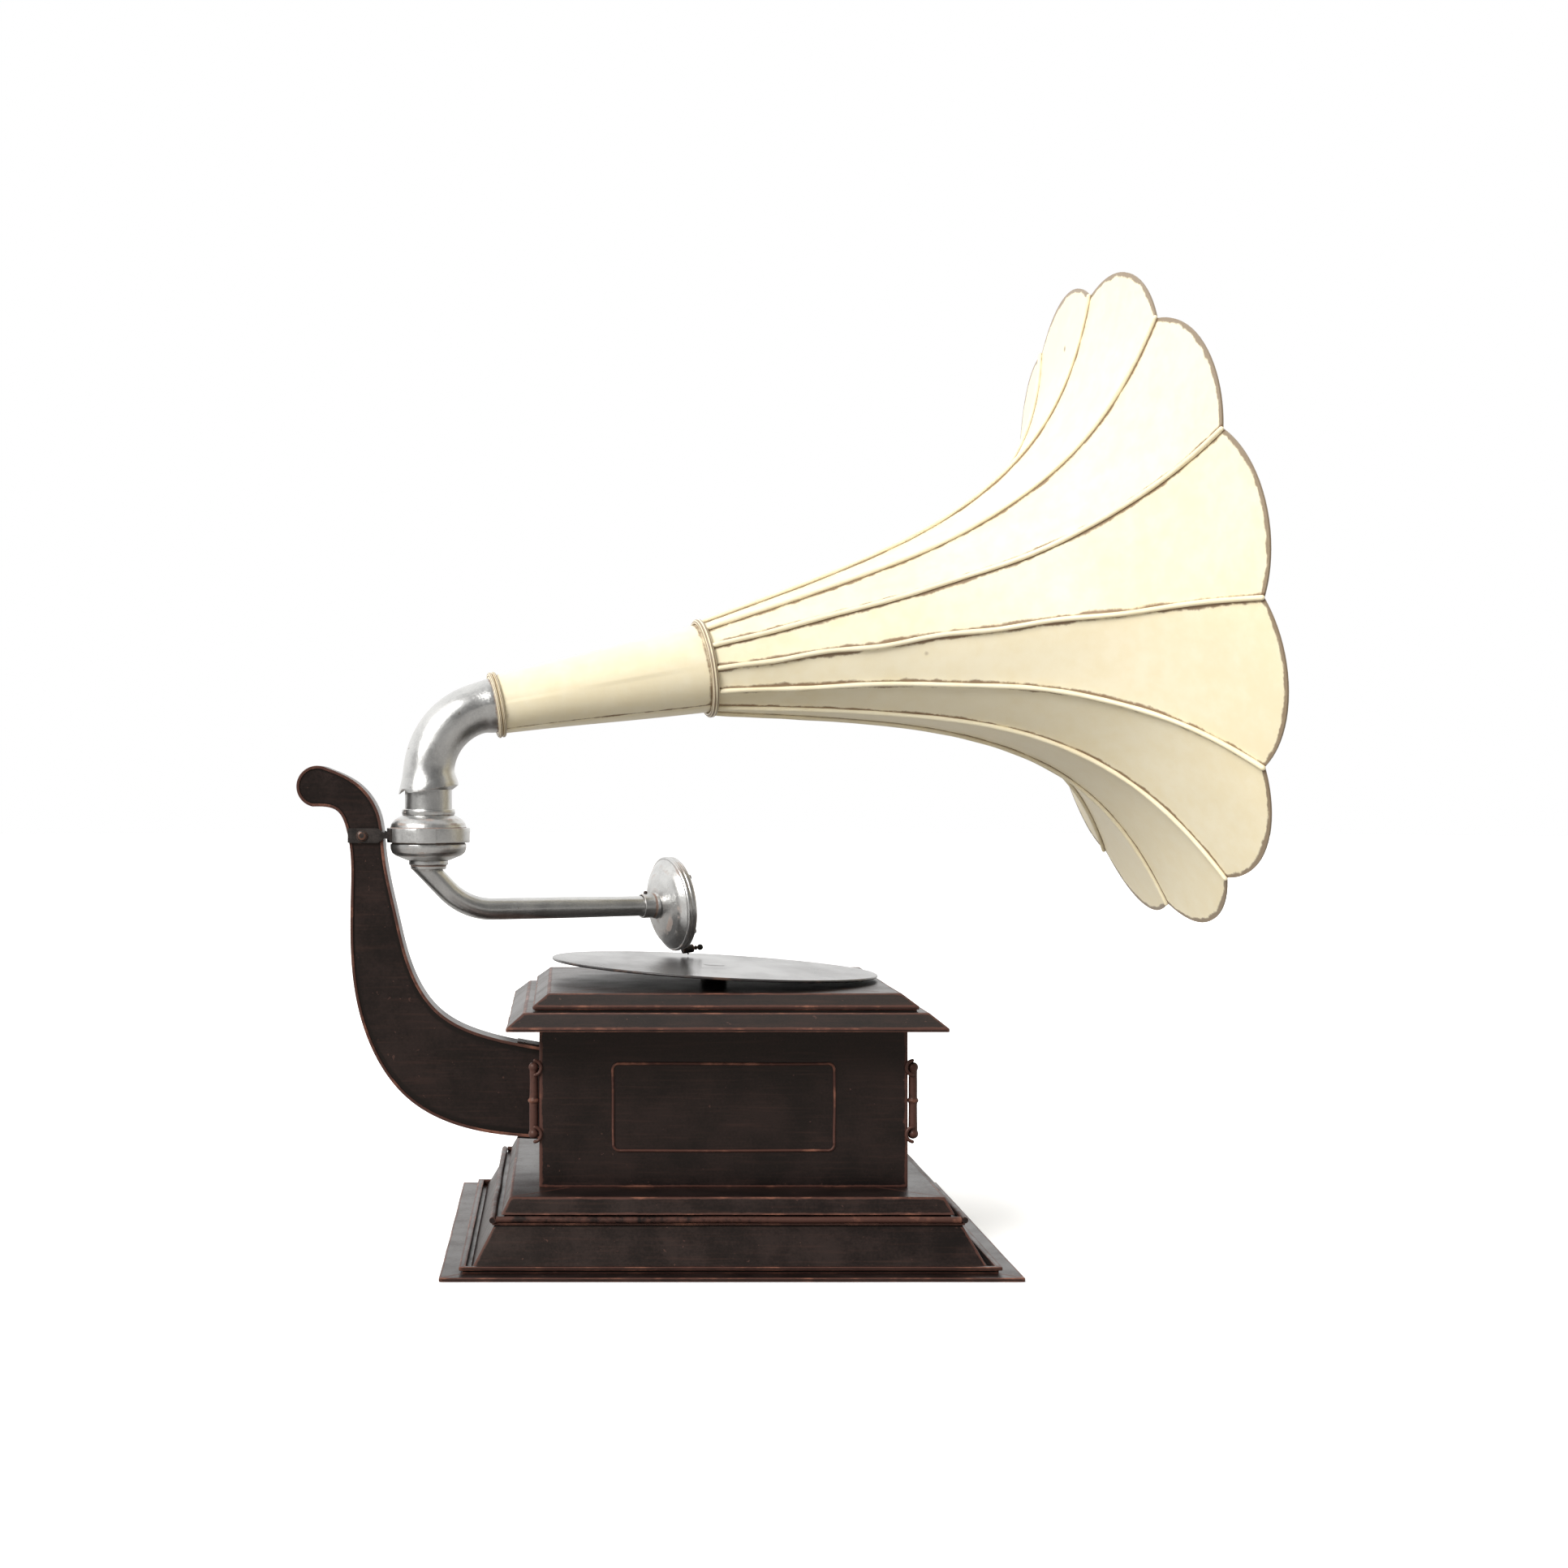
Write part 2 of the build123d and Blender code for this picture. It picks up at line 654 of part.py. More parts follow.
with BuildPart() as neck_tube:
    add(
        turned(
            union_plane,
            (
                (NECK_RADIUS - SHEET, TOP_RING_BOTTOM - 1.0),
                (NECK_RADIUS, TOP_RING_BOTTOM - 1.0),
                (NECK_RADIUS, NECK_TOP),
                (NECK_RADIUS - SHEET, NECK_TOP),
            ),
        )
    )
save(neck_tube, "neck_tube")

# The lower cup hangs in the band by a flange and turns there with the tone arm.
FLANGE_BOTTOM = BAND_BOTTOM + LIP + 0.05
LIP_NECK = BAND_LIP_INNER - RUNNING_CLEARANCE
with BuildPart() as union_lower_cup:
    add(
        turned(
            union_plane,
            (
                (CUP_FLANGE - RUNNING_CLEARANCE, FLANGE_BOTTOM),
                (CUP_FLANGE - RUNNING_CLEARANCE, FLANGE_BOTTOM + 1.0),
                (LIP_NECK - SHEET, FLANGE_BOTTOM + 1.0),
                (LIP_NECK - SHEET, 131.6),
                (10.4, 129.3),
                (COLLAR_RADIUS - SHEET, COLLAR_TOP + 0.9),
                (COLLAR_RADIUS - SHEET, COLLAR_TOP),
                (COLLAR_RADIUS + 0.4, COLLAR_TOP),
                (11.4, 128.7),
                (12.6, 129.7),
                (CUP_RADIUS, 131.2),
                (CUP_RADIUS, 132.6),
                (LIP_NECK, BAND_BOTTOM - 0.1),
                (LIP_NECK, FLANGE_BOTTOM),
            ),
        )
    )
save(union_lower_cup, "union_lower_cup")

# ---------------------------------------------------------------- tone arm tube
arm_direction = Vector(cos(radians(TONEARM_YAW)), sin(radians(TONEARM_YAW)), 0)
tonearm_plane = Plane(origin=(UNION_X, 0, 0), x_dir=arm_direction, z_dir=(arm_direction.Y, -arm_direction.X, 0))


def along_tonearm(distance, height=TONEARM_Z, tilt=0):
    """A plane square to the tone arm, this far from the union's axis, leaning back by the tilt."""
    normal = arm_direction * cos(radians(tilt)) + Vector(0, 0, sin(radians(tilt)))
    origin = Vector(UNION_X, 0, height) + arm_direction * distance
    return Plane(origin=origin, x_dir=(-arm_direction.Y, arm_direction.X, 0), z_dir=normal)


drop = radians(TONEARM_DROP_ANGLE)
bend_drop = TONEARM_BEND_RADIUS * (1 - cos(drop))
bend_start = (
    (COLLAR_BOTTOM - TONEARM_Z - bend_drop) * cos(drop) / sin(drop) - 0.5,
    TONEARM_Z + bend_drop,
)
bend_end = (bend_start[0] + TONEARM_BEND_RADIUS * sin(drop), TONEARM_Z)
bend_middle = (
    bend_end[0] - TONEARM_BEND_RADIUS * sin(drop / 2),
    TONEARM_Z + TONEARM_BEND_RADIUS * (1 - cos(drop / 2)),
)
tube_head = (bend_start[0] - 14 * cos(drop), bend_start[1] + 14 * sin(drop))


def tonearm_bend(radius):
    """A round bar down the slant and round the bend."""
    with BuildPart() as bar:
        with BuildLine(tonearm_plane):
            slant = Line(tube_head, bend_start)
            ThreePointArc(bend_start, bend_middle, bend_end)
        with BuildSketch(Plane(origin=slant @ 0, z_dir=slant % 0)):
            Circle(radius)
        sweep()
    return bar.part


def tonearm_straight(start_radius, end_radius):
    """A slightly tapered round bar from the bend to the end of the tube."""
    with BuildPart() as bar:
        with BuildSketch(along_tonearm(bend_end[0])):
            Circle(start_radius)
        with BuildSketch(along_tonearm(TUBE_END)):
            Circle(end_radius)
        loft()
    return bar.part


with BuildPart() as tonearm_tube:
    add(tonearm_bend(TUBE_RADIUS))
    add(tonearm_straight(TUBE_RADIUS, TUBE_END_RADIUS))
    add(tonearm_bend(TUBE_RADIUS - TUBE_WALL), mode=Mode.SUBTRACT)
    add(
        tonearm_straight(TUBE_RADIUS - TUBE_WALL, TUBE_END_RADIUS - TUBE_WALL), mode=Mode.SUBTRACT
    )
    split(bisect_by=Plane.XY.offset(COLLAR_BOTTOM), keep=Keep.BOTTOM)
save(tonearm_tube, "tonearm_tube")

with BuildPart() as union_lower_collar:
    add(
        turned(
            union_plane,
            (
                (0, COLLAR_BOTTOM),
                (COLLAR_RADIUS - 0.3, COLLAR_BOTTOM),
                (COLLAR_RADIUS, COLLAR_BOTTOM + 0.4),
                (COLLAR_RADIUS, COLLAR_TOP),
                (COLLAR_RADIUS - SHEET, COLLAR_TOP),
                (COLLAR_RADIUS - SHEET, COLLAR_BOTTOM + SHEET),
                (0, COLLAR_BOTTOM + SHEET),
            ),
        )
    )
    add(tonearm_bend(TUBE_RADIUS - TUBE_WALL), mode=Mode.SUBTRACT)
save(union_lower_collar, "union_lower_collar")

# ---------------------------------------------------------------- soundbox
box_plane = along_tonearm(SOUNDBOX_BACK, tilt=SOUNDBOX_TILT)
tube_axis_plane = along_tonearm(SLEEVE_START)

with BuildPart() as soundbox_sleeve:
    with BuildSketch(tube_axis_plane):
        Circle(SLEEVE_RADIUS)
        Circle(TUBE_END_RADIUS + 0.12 + RUNNING_CLEARANCE, mode=Mode.SUBTRACT)
    extrude(amount=12)
    split(bisect_by=box_plane, keep=Keep.BOTTOM)
save(soundbox_sleeve, "soundbox_sleeve")

with BuildPart() as sleeve_screw:
    screw_foot = Vector(*tube_axis_plane.origin) + arm_direction * 1.6
    with BuildSketch(
        Plane(origin=screw_foot + Vector(0, 0, SLEEVE_RADIUS), z_dir=(0, 0, 1))
    ):
        Circle(0.7)
    extrude(amount=1.0)
save(sleeve_screw, "sleeve_screw")

BACK_FLAT_RADIUS = 5.5
with BuildPart() as soundbox_dish:
    add(
        turned(
            box_plane,
            (
                (2.6, 0),
                (BACK_FLAT_RADIUS, 0),
                (10.2, 0.9),
                (13.9, 2.4),
                (DISH_RADIUS, DISH_DEPTH),
                (DISH_RADIUS - DISH_WALL, DISH_DEPTH),
                (13.3, 3.2),
                (9.9, 1.7),
                (BACK_FLAT_RADIUS, DISH_WALL),
                (2.6, DISH_WALL),
            ),
        )
    )
save(soundbox_dish, "soundbox_dish")

rim_end = DISH_DEPTH + RIM_WIDTH
with BuildPart() as soundbox_rim_ring:
    add(
        turned(
            box_plane,
            (
                (DIAPHRAGM_RADIUS - 1, DISH_DEPTH),
                (RIM_RADIUS - 0.4, DISH_DEPTH),
                (RIM_RADIUS, DISH_DEPTH + 0.5),
                (RIM_RADIUS, rim_end - 0.3),
                (RIM_RADIUS - 0.3, rim_end),
                (DIAPHRAGM_RADIUS, rim_end),
                (DIAPHRAGM_RADIUS, rim_end - DIAPHRAGM_THICK),
                (DIAPHRAGM_RADIUS - 1, rim_end - DIAPHRAGM_THICK),
            ),
        )
    )
save(soundbox_rim_ring, "soundbox_rim_ring")

with BuildPart() as diaphragm:
    with BuildSketch(box_plane.offset(rim_end - DIAPHRAGM_THICK)):
        Circle(DIAPHRAGM_RADIUS)
    extrude(amount=DIAPHRAGM_THICK)
save(diaphragm, "diaphragm")

front_end = rim_end + FRONT_RING_THICK
SCREW_CIRCLE = 14.8
SCREW_ANGLES = (50, 140, 220, 320)
with BuildPart() as soundbox_front_ring:
    add(
        turned(
            box_plane,
            (
                (FRONT_RING_INNER, rim_end),
                (RIM_RADIUS - 0.5, rim_end),
                (RIM_RADIUS - 0.2, rim_end + 0.5),
                (RIM_RADIUS - 0.2, front_end - 0.6),
                (RIM_RADIUS - 0.9, front_end),
                (FRONT_RING_INNER, front_end),
            ),
        )
    )
save(soundbox_front_ring, "soundbox_front_ring")

with BuildPart() as soundbox_screws:
    for angle in SCREW_ANGLES:
        screw_spot = (SCREW_CIRCLE * cos(radians(angle)), SCREW_CIRCLE * sin(radians(angle)))
        with BuildSketch(box_plane.offset(front_end)):
            with Locations(screw_spot):
                Circle(1.1)
        extrude(amount=0.8)
save(soundbox_screws, "soundbox_screws")

# The needle bar runs down the front from the diaphragm's middle to the chuck at the rim.
BAR_HALF_WIDTH = 0.9
CHUCK_RADIUS = 1.5
chuck_drop = -17.0
with BuildPart() as needle_bar:
    with BuildSketch(box_plane.offset(rim_end)):
        Circle(1.2)
    extrude(amount=FRONT_RING_THICK + 0.2)
    with BuildSketch(box_plane.offset(front_end + 0.2)):
        with Locations((0, chuck_drop / 2)):
            Rectangle(2 * BAR_HALF_WIDTH, -chuck_drop + 2)
    extrude(amount=1.2)
    with BuildSketch(box_plane.offset(front_end)):
        with Locations((0, chuck_drop)):
            Circle(CHUCK_RADIUS)
    extrude(amount=4.2)
save(needle_bar, "needle_bar")

chuck_middle = box_plane.offset(front_end + 2.4).from_local_coords(Vector(0, chuck_drop, 0))
needle_tip = Vector(UNION_X, 0, NEEDLE_TIP_Z) + arm_direction * NEEDLE_REACH
needle_way = (needle_tip - chuck_middle).normalized()
needle_length = (needle_tip - chuck_middle).length
needle_start = CHUCK_RADIUS + 0.05
with BuildPart() as needle:
    with BuildSketch(Plane(origin=chuck_middle + needle_way * needle_start, z_dir=needle_way)):
        Circle(0.45)
    with BuildSketch(Plane(origin=needle_tip, z_dir=needle_way)):
        Circle(0.1)
    loft()
save(needle, "needle")

THUMB_NECK_RADIUS = 0.5
THUMB_BALL_RADIUS = 1.1
thumb_plane = box_plane.offset(front_end + 4.25)
with BuildPart() as needle_thumbscrew:
    with BuildSketch(thumb_plane):
        with Locations((0, chuck_drop)):
            Circle(THUMB_NECK_RADIUS)
    extrude(amount=2.2)
    with BuildSketch(thumb_plane.offset(0.8)):
        with Locations((0, chuck_drop)):
            Circle(0.8)
    extrude(amount=0.5)
    with Locations(thumb_plane.offset(2.8).from_local_coords(Vector(0, chuck_drop, 0))):
        Sphere(THUMB_BALL_RADIUS)
save(needle_thumbscrew, "needle_thumbscrew")

# ---------------------------------------------------------------- elbow
def save_swivelled(piece, label):
    """Saves a piece of the horn, swivelled about the union's axis so that it looks a little to the back."""
    turned_part = piece.part.rotate(Axis((UNION_X, 0, 0), (0, 0, 1)), HORN_YAW)
    turned_part.label = label
    export_step(turned_part, f"parts/{label}.step")


throat_direction = Vector(cos(radians(THROAT_RISE)), 0, sin(radians(THROAT_RISE)))
bell_direction = Vector(cos(radians(BELL_RISE)), 0, sin(radians(BELL_RISE)))
bend_turn = radians(90 - THROAT_RISE)
bend_top_x = UNION_X + ELBOW_BEND_RADIUS * (1 - cos(bend_turn))
bend_top = (bend_top_x, NECK_TOP + ELBOW_BEND_RADIUS * sin(bend_turn))
bend_half = (
    UNION_X + ELBOW_BEND_RADIUS * (1 - cos(bend_turn / 2)),
    NECK_TOP + ELBOW_BEND_RADIUS * sin(bend_turn / 2),
)
ELBOW_TAIL = 2.7
middle_plane = Plane(origin=(0, 0, 0), x_dir=(1, 0, 0), z_dir=(0, -1, 0))


def elbow_bar(radius):
    """A round bar up the sleeve, round the bend and out to the horn's collar."""
    tail_end = (
        bend_top[0] + ELBOW_TAIL * throat_direction.X,
        bend_top[1] + ELBOW_TAIL * throat_direction.Z,
    )
    with BuildPart() as bar:
        with BuildLine(middle_plane):
            Line((UNION_X, ELBOW_BOTTOM), (UNION_X, NECK_TOP))
            ThreePointArc((UNION_X, NECK_TOP), bend_half, bend_top)
            Line(bend_top, tail_end)
        with BuildSketch(Plane(origin=(UNION_X, 0, ELBOW_BOTTOM), z_dir=(0, 0, 1))):
            Circle(radius)
        sweep()
    return bar.part


with BuildPart() as elbow_tube:
    add(elbow_bar(ELBOW_RADIUS))
    add(
        turned(
            union_plane,
            (
                (0, ELBOW_BOTTOM),
                (ELBOW_LIP_RADIUS, ELBOW_BOTTOM),
                (ELBOW_RADIUS + 0.6, ELBOW_BOTTOM + ELBOW_LIP_HEIGHT / 2),
                (ELBOW_RADIUS - 0.2, ELBOW_BOTTOM + ELBOW_LIP_HEIGHT),
                (0, ELBOW_BOTTOM + ELBOW_LIP_HEIGHT),
            ),
        )
    )
    add(elbow_bar(ELBOW_BORE), mode=Mode.SUBTRACT)
    with BuildSketch(Plane(origin=(UNION_X, 0, ELBOW_BOTTOM), z_dir=(0, 0, 1))):
        Circle(NECK_RADIUS + RUNNING_CLEARANCE)
    extrude(amount=NECK_TOP + 0.05 - ELBOW_BOTTOM, mode=Mode.SUBTRACT)
save_swivelled(elbow_tube, "elbow_tube")

# ---------------------------------------------------------------- horn throat
collar_centre = Vector(bend_top[0], 0, bend_top[1]) + throat_direction * ELBOW_TAIL
throat_plane = Plane(origin=collar_centre, x_dir=(0, -1, 0), z_dir=throat_direction)
mid_centre = collar_centre + throat_direction * THROAT_LENGTH
bell_plane = Plane(origin=mid_centre, x_dir=(0, -1, 0), z_dir=bell_direction)

with BuildPart() as horn_throat_cone:
    add(
        turned(
            throat_plane,
            (
                (ELBOW_BORE, 0),
                (THROAT_START_RADIUS, 0),
                (THROAT_END_RADIUS + 0.23, THROAT_LENGTH + 3),
                (THROAT_END_RADIUS + 0.23 - HORN_SHEET, THROAT_LENGTH + 3),
                (THROAT_START_RADIUS - HORN_SHEET + 0.1, 1.2),
                (ELBOW_BORE, 1.2),
            ),
        )
    )
    split(bisect_by=bell_plane, keep=Keep.BOTTOM)
save_swivelled(horn_throat_cone, "horn_throat_cone")

with BuildPart() as horn_collar_ring:
    half = COLLAR_RING_WIDTH / 2
    add(
        turned(
            throat_plane,
            (
                (THROAT_START_RADIUS + 0.1, 0),
                (COLLAR_RING_RADIUS - 0.5, 0),
                (COLLAR_RING_RADIUS, 0.4),
                (COLLAR_RING_RADIUS, half - 0.4),
                (COLLAR_RING_RADIUS - 0.5, half),
                (COLLAR_RING_RADIUS, half + 0.4),
                (COLLAR_RING_RADIUS, COLLAR_RING_WIDTH - 0.4),
                (COLLAR_RING_RADIUS - 0.5, COLLAR_RING_WIDTH),
                (THROAT_START_RADIUS + 0.21, COLLAR_RING_WIDTH),
            ),
        )
    )
save_swivelled(horn_collar_ring, "horn_collar_ring")

# ---------------------------------------------------------------- bell
MOUTH_START_SLOPE = 0.2
FLARE_SOFT = 40.0
FLARE_SHARP = 23.0


def bell_radius(depth):
    """Outer radius of the bell this far past its middle ring: a cone, a soft flare, a sharp flare."""
    share = depth / BELL_DEPTH
    return THROAT_END_RADIUS + MOUTH_START_SLOPE * depth + FLARE_SOFT * share**4 + FLARE_SHARP * share**12


def bell_slope(depth):
    """How fast the bell's radius grows with depth."""
    share = depth / BELL_DEPTH
    return MOUTH_START_SLOPE + (4 * FLARE_SOFT * share**3 + 12 * FLARE_SHARP * share**11) / BELL_DEPTH


def bell_curve(outward, start, end):
    """Points along the bell's outer line, moved this far outward along its normal."""
    steps = 14
    points = []
    for step in range(steps + 1):
        depth = start + (end - start) * (1 - (1 - step / steps) ** 1.6)
        slope = bell_slope(depth)
        length = sqrt(1 + slope**2)
        points.append((depth - outward * slope / length, bell_radius(depth) + outward / length))
    return points


def bell_outward(angle):
    """The direction out from the bell's axis at this angle, counted from the front downwards."""
    turn = radians(angle + PETAL_PHASE)
    return bell_plane.x_dir * cos(turn) + bell_plane.y_dir * sin(turn)


def bell_meridian(angle):
    """The plane through the bell's axis at this angle: x runs along the axis and y points out."""
    return Plane(
        origin=mid_centre, x_dir=bell_direction, z_dir=bell_direction.cross(bell_outward(angle))
    )


PETAL_ANGLE = 360 / PETAL_COUNT
half_chord = RIB_END_RADIUS * sin(radians(PETAL_ANGLE / 2))
lobe_rise = PETAL_TIP_RADIUS - RIB_END_RADIUS * cos(radians(PETAL_ANGLE / 2))
LOBE_RADIUS = (half_chord**2 + lobe_rise**2) / (2 * lobe_rise)

outer_line = bell_curve(0, 0, BELL_TIP_DEPTH)
inner_line = bell_curve(-HORN_SHEET, 0, BELL_TIP_DEPTH)
inner_line[0] = (0, inner_line[0][1])
for index in range(PETAL_COUNT):
    start_angle = index * PETAL_ANGLE
    with BuildPart() as petal:
        with BuildSketch(bell_meridian(start_angle)):
            with BuildLine():
                Spline(*outer_line)
                Spline(*inner_line)
                Line(outer_line[0], inner_line[0])
                Line(outer_line[-1], inner_line[-1])
            make_face()
        revolve(axis=Axis(mid_centre, bell_direction), revolution_arc=PETAL_ANGLE)
        lobe_direction = bell_outward(start_angle + PETAL_ANGLE / 2)
        with BuildSketch(Plane(mid_centre, x_dir=lobe_direction, z_dir=bell_direction).offset(-10)):
            Circle(RIB_END_RADIUS * 0.6)
            with Locations((PETAL_TIP_RADIUS - LOBE_RADIUS, 0)):
                Circle(LOBE_RADIUS)
        extrude(amount=BELL_DEPTH + 30, mode=Mode.INTERSECT)
    save_swivelled(petal, f"horn_petal_{index + 1:02d}")

rib_start = MID_RING_WIDTH / 2
RIB_GAP = 0.6
rib_inner = bell_curve(0, rib_start + RIB_GAP, BELL_DEPTH)
rib_outer = bell_curve(RIB_HEIGHT, rib_start + RIB_GAP, BELL_DEPTH)
with BuildPart() as horn_ribs:
    for index in range(PETAL_COUNT):
        with BuildSketch(bell_meridian(index * PETAL_ANGLE)):
            with BuildLine():
                Spline(*rib_inner)
                Spline(*rib_outer)
                Line(rib_inner[0], rib_outer[0])
                Line(rib_inner[-1], rib_outer[-1])
            make_face()
        extrude(amount=RIB_HALF_WIDTH, both=True)
save_swivelled(horn_ribs, "horn_ribs")

ring_bore = bell_radius(rib_start) + 0.02
with BuildPart() as horn_mid_ring:
    add(
        turned(
            bell_plane,
            (
                (ring_bore, -rib_start),
                (MID_RING_RADIUS - 0.7, -rib_start),
                (MID_RING_RADIUS, -rib_start + 0.6),
                (MID_RING_RADIUS, rib_start - 0.6),
                (MID_RING_RADIUS - 0.7, rib_start),
                (ring_bore, rib_start),
            ),
        )
    )
save_swivelled(horn_mid_ring, "horn_mid_ring")
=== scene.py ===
import bpy
import numpy as np
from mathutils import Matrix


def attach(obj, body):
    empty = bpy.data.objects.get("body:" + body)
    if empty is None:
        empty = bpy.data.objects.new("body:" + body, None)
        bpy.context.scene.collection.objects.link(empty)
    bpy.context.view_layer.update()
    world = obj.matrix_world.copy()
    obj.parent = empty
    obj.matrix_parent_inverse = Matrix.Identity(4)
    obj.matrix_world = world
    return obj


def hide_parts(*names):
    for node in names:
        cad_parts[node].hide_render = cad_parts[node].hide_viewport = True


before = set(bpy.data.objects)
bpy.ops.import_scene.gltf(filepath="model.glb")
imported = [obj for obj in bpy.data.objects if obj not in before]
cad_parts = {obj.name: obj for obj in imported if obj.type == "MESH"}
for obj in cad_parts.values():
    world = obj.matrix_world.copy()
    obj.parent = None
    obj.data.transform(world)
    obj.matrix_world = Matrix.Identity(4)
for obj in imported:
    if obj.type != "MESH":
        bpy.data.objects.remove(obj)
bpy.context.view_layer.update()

MM = 0.001
UP = np.array([0.0, 0.0, 1.0])
TO_BACK = np.array([0.0, 1.0, 0.0])


# ---- shared numbers, millimetres
PLINTH_HALF = 90.3
PLINTH_CORNER = 0.45
LEDGE_Z, PLINTH_TOP, BOX_TOP = 15.2, 22.5, 74.8
LID_SEAM_Z, LID_TOP = 81.2, 86.0
BOX_HALF_X, BOX_HALF_Y = 59.8, 50.0
PANEL_HALF = np.array([35.9, 14.1])
PANEL_Z = 48.5
PANEL_ROUNDING = 2.0
HANDLE_X, HANDLE_Y = 61.6, -48.5
HANDLE_ENDS = (39.7, 61.3)
UNION_X = -98.6
ARM_HALF_THICK = 7.0
BAND_BOTTOM, BAND_TOP = 133.2, 138.2
BAND_RADIUS = 14.3
COLLAR_Z, CUP_FOOT_Z, CUP_CROWN_Z, NECK_TOP = 124.0, 127.0, 142.6, 156.4
ELBOW_BEND = 24.0
DISC_CENTRE = np.array([0.0, 0.0, 90.5])
DISC_LEAN = np.radians(3.0)
THROAT_RISE = np.radians(10.2)
BELL_RISE = np.radians(9.0)
HORN_YAW = np.radians(8.5)
PETAL_PHASE = np.radians(3.5)
THROAT_LENGTH = 75.8
TONEARM_YAW = np.radians(22.0)
TONEARM_Z = 109.8
TONEARM_BEND = 24.0
PETALS = 12
SHEET = 0.7
BELL_DEPTH = 158.0
RIB_END_RADIUS = 110.0
TIP_RADIUS = 117.8

throat_way = np.array([np.cos(THROAT_RISE), 0.0, np.sin(THROAT_RISE)])
bell_way = np.array([np.cos(BELL_RISE), 0.0, np.sin(BELL_RISE)])
collar_centre = np.array([-76.193, 0.0, 180.499])
mid_centre = collar_centre + THROAT_LENGTH * throat_way
arm_way = np.array([np.cos(TONEARM_YAW), np.sin(TONEARM_YAW), 0.0])
arm_side = np.array([-arm_way[1], arm_way[0], 0.0])
union_foot = np.array([UNION_X, 0.0, 0.0])


# ---- mesh tools
def unit(vectors):
    """Each vector divided by its own length."""
    return vectors / np.linalg.norm(vectors, axis=-1, keepdims=True)


def places(*parts):
    """Points from their coordinates, each a plain number or an array."""
    return np.stack(np.broadcast_arrays(*parts), -1)


def hump(distance, width):
    """exp(-(distance / width)^2): 1 here, fading out over about this width."""
    return np.exp(-((distance / width) ** 2))


def full_turn(count):
    """Angles evenly round a circle."""
    return np.linspace(0, 2 * np.pi, count, endpoint=False)


def waves(along, seed, scale, size):
    """A gentle hand-made unevenness: the sum of four sines of random phase, about this size."""
    rng = np.random.default_rng(seed)
    phase = rng.uniform(0, 2 * np.pi, 4)
    pace = rng.uniform(0.6, 2.4, 4) / scale
    return size * np.sin(along[..., None] * pace + phase).mean(-1) * 1.6


def grid_quads(rows, columns, wrap_rows, wrap_columns):
    """The quads between neighbours of a grid that is numbered row by row."""
    row = np.arange(rows if wrap_rows else rows - 1)
    column = np.arange(columns if wrap_columns else columns - 1)
    row, column = np.meshgrid(row, column, indexing="ij")
    next_row, next_column = (row + 1) % rows, (column + 1) % columns
    corners = (
        row * columns + column,
        next_row * columns + column,
        next_row * columns + next_column,
        row * columns + next_column,
    )
    return np.stack(corners, -1).reshape(-1, 4)


def skin(grid, wear=0.0, grime=0.0, wrap_rows=False, poles=None, sheet_ends=False):
    """A closed skin from rows of closed loops.

    With wrap_rows the last row joins the first. Otherwise each end is closed by a fan to a pole,
    which is the mean of its loop unless poles gives the two points. With sheet_ends each end loop,
    which runs out on one face of a sheet and back on the other, is closed by a strip between them.
    The skin is turned so that its enclosed volume, a sum of a . (b x c) / 6, is positive.
    """
    rows, columns = grid.shape[:2]
    points = grid.reshape(-1, 3)
    wear = np.broadcast_to(wear, (rows, columns)).reshape(-1)
    grime = np.broadcast_to(grime, (rows, columns)).reshape(-1)
    quads = grid_quads(rows, columns, wrap_rows, True)
    fans = np.zeros((0, 3), int)
    if sheet_ends:
        out = np.arange(columns // 2 - 1)
        strip = np.stack([out, out + 1, columns - 2 - out, columns - 1 - out], -1)
        quads = np.vstack([quads, strip, strip[:, ::-1] + (rows - 1) * columns])
    elif not wrap_rows:
        ends = (grid[0].mean(0), grid[-1].mean(0)) if poles is None else poles
        first = len(points)
        points = np.vstack([points, ends])
        wear = np.append(wear, [0.0, 0.0])
        grime = np.append(grime, [0.0, 0.0])
        loop = np.arange(columns)
        following = (loop + 1) % columns
        last_row = (rows - 1) * columns
        start = np.stack([np.full(columns, first), loop, following], -1)
        end = np.stack([np.full(columns, first + 1), last_row + following, last_row + loop], -1)
        fans = np.vstack([start, end])
    split = np.vstack([quads[:, [0, 1, 2]], quads[:, [0, 2, 3]], fans])
    a, b, c = (points[split[:, i]] for i in range(3))
    if np.einsum("ij,ij->", a, np.cross(b, c)) < 0:
        quads, fans = quads[:, ::-1], fans[:, ::-1]
    return points, quads, fans, wear, grime


def swivelled(skins):
    """The horn's skins turned about the union's upright axis, (x, y) by the yaw's sine and cosine."""
    c, s = np.cos(HORN_YAW), np.sin(HORN_YAW)
    turn = np.array([[c, -s, 0.0], [s, c, 0.0], [0.0, 0.0, 1.0]])
    return [((points - union_foot) @ turn.T + union_foot, *rest) for points, *rest in skins]


def linked(name, data):
    """A new object in the scene."""
    made = bpy.data.objects.new(name, data)
    bpy.context.scene.collection.objects.link(made)
    return made


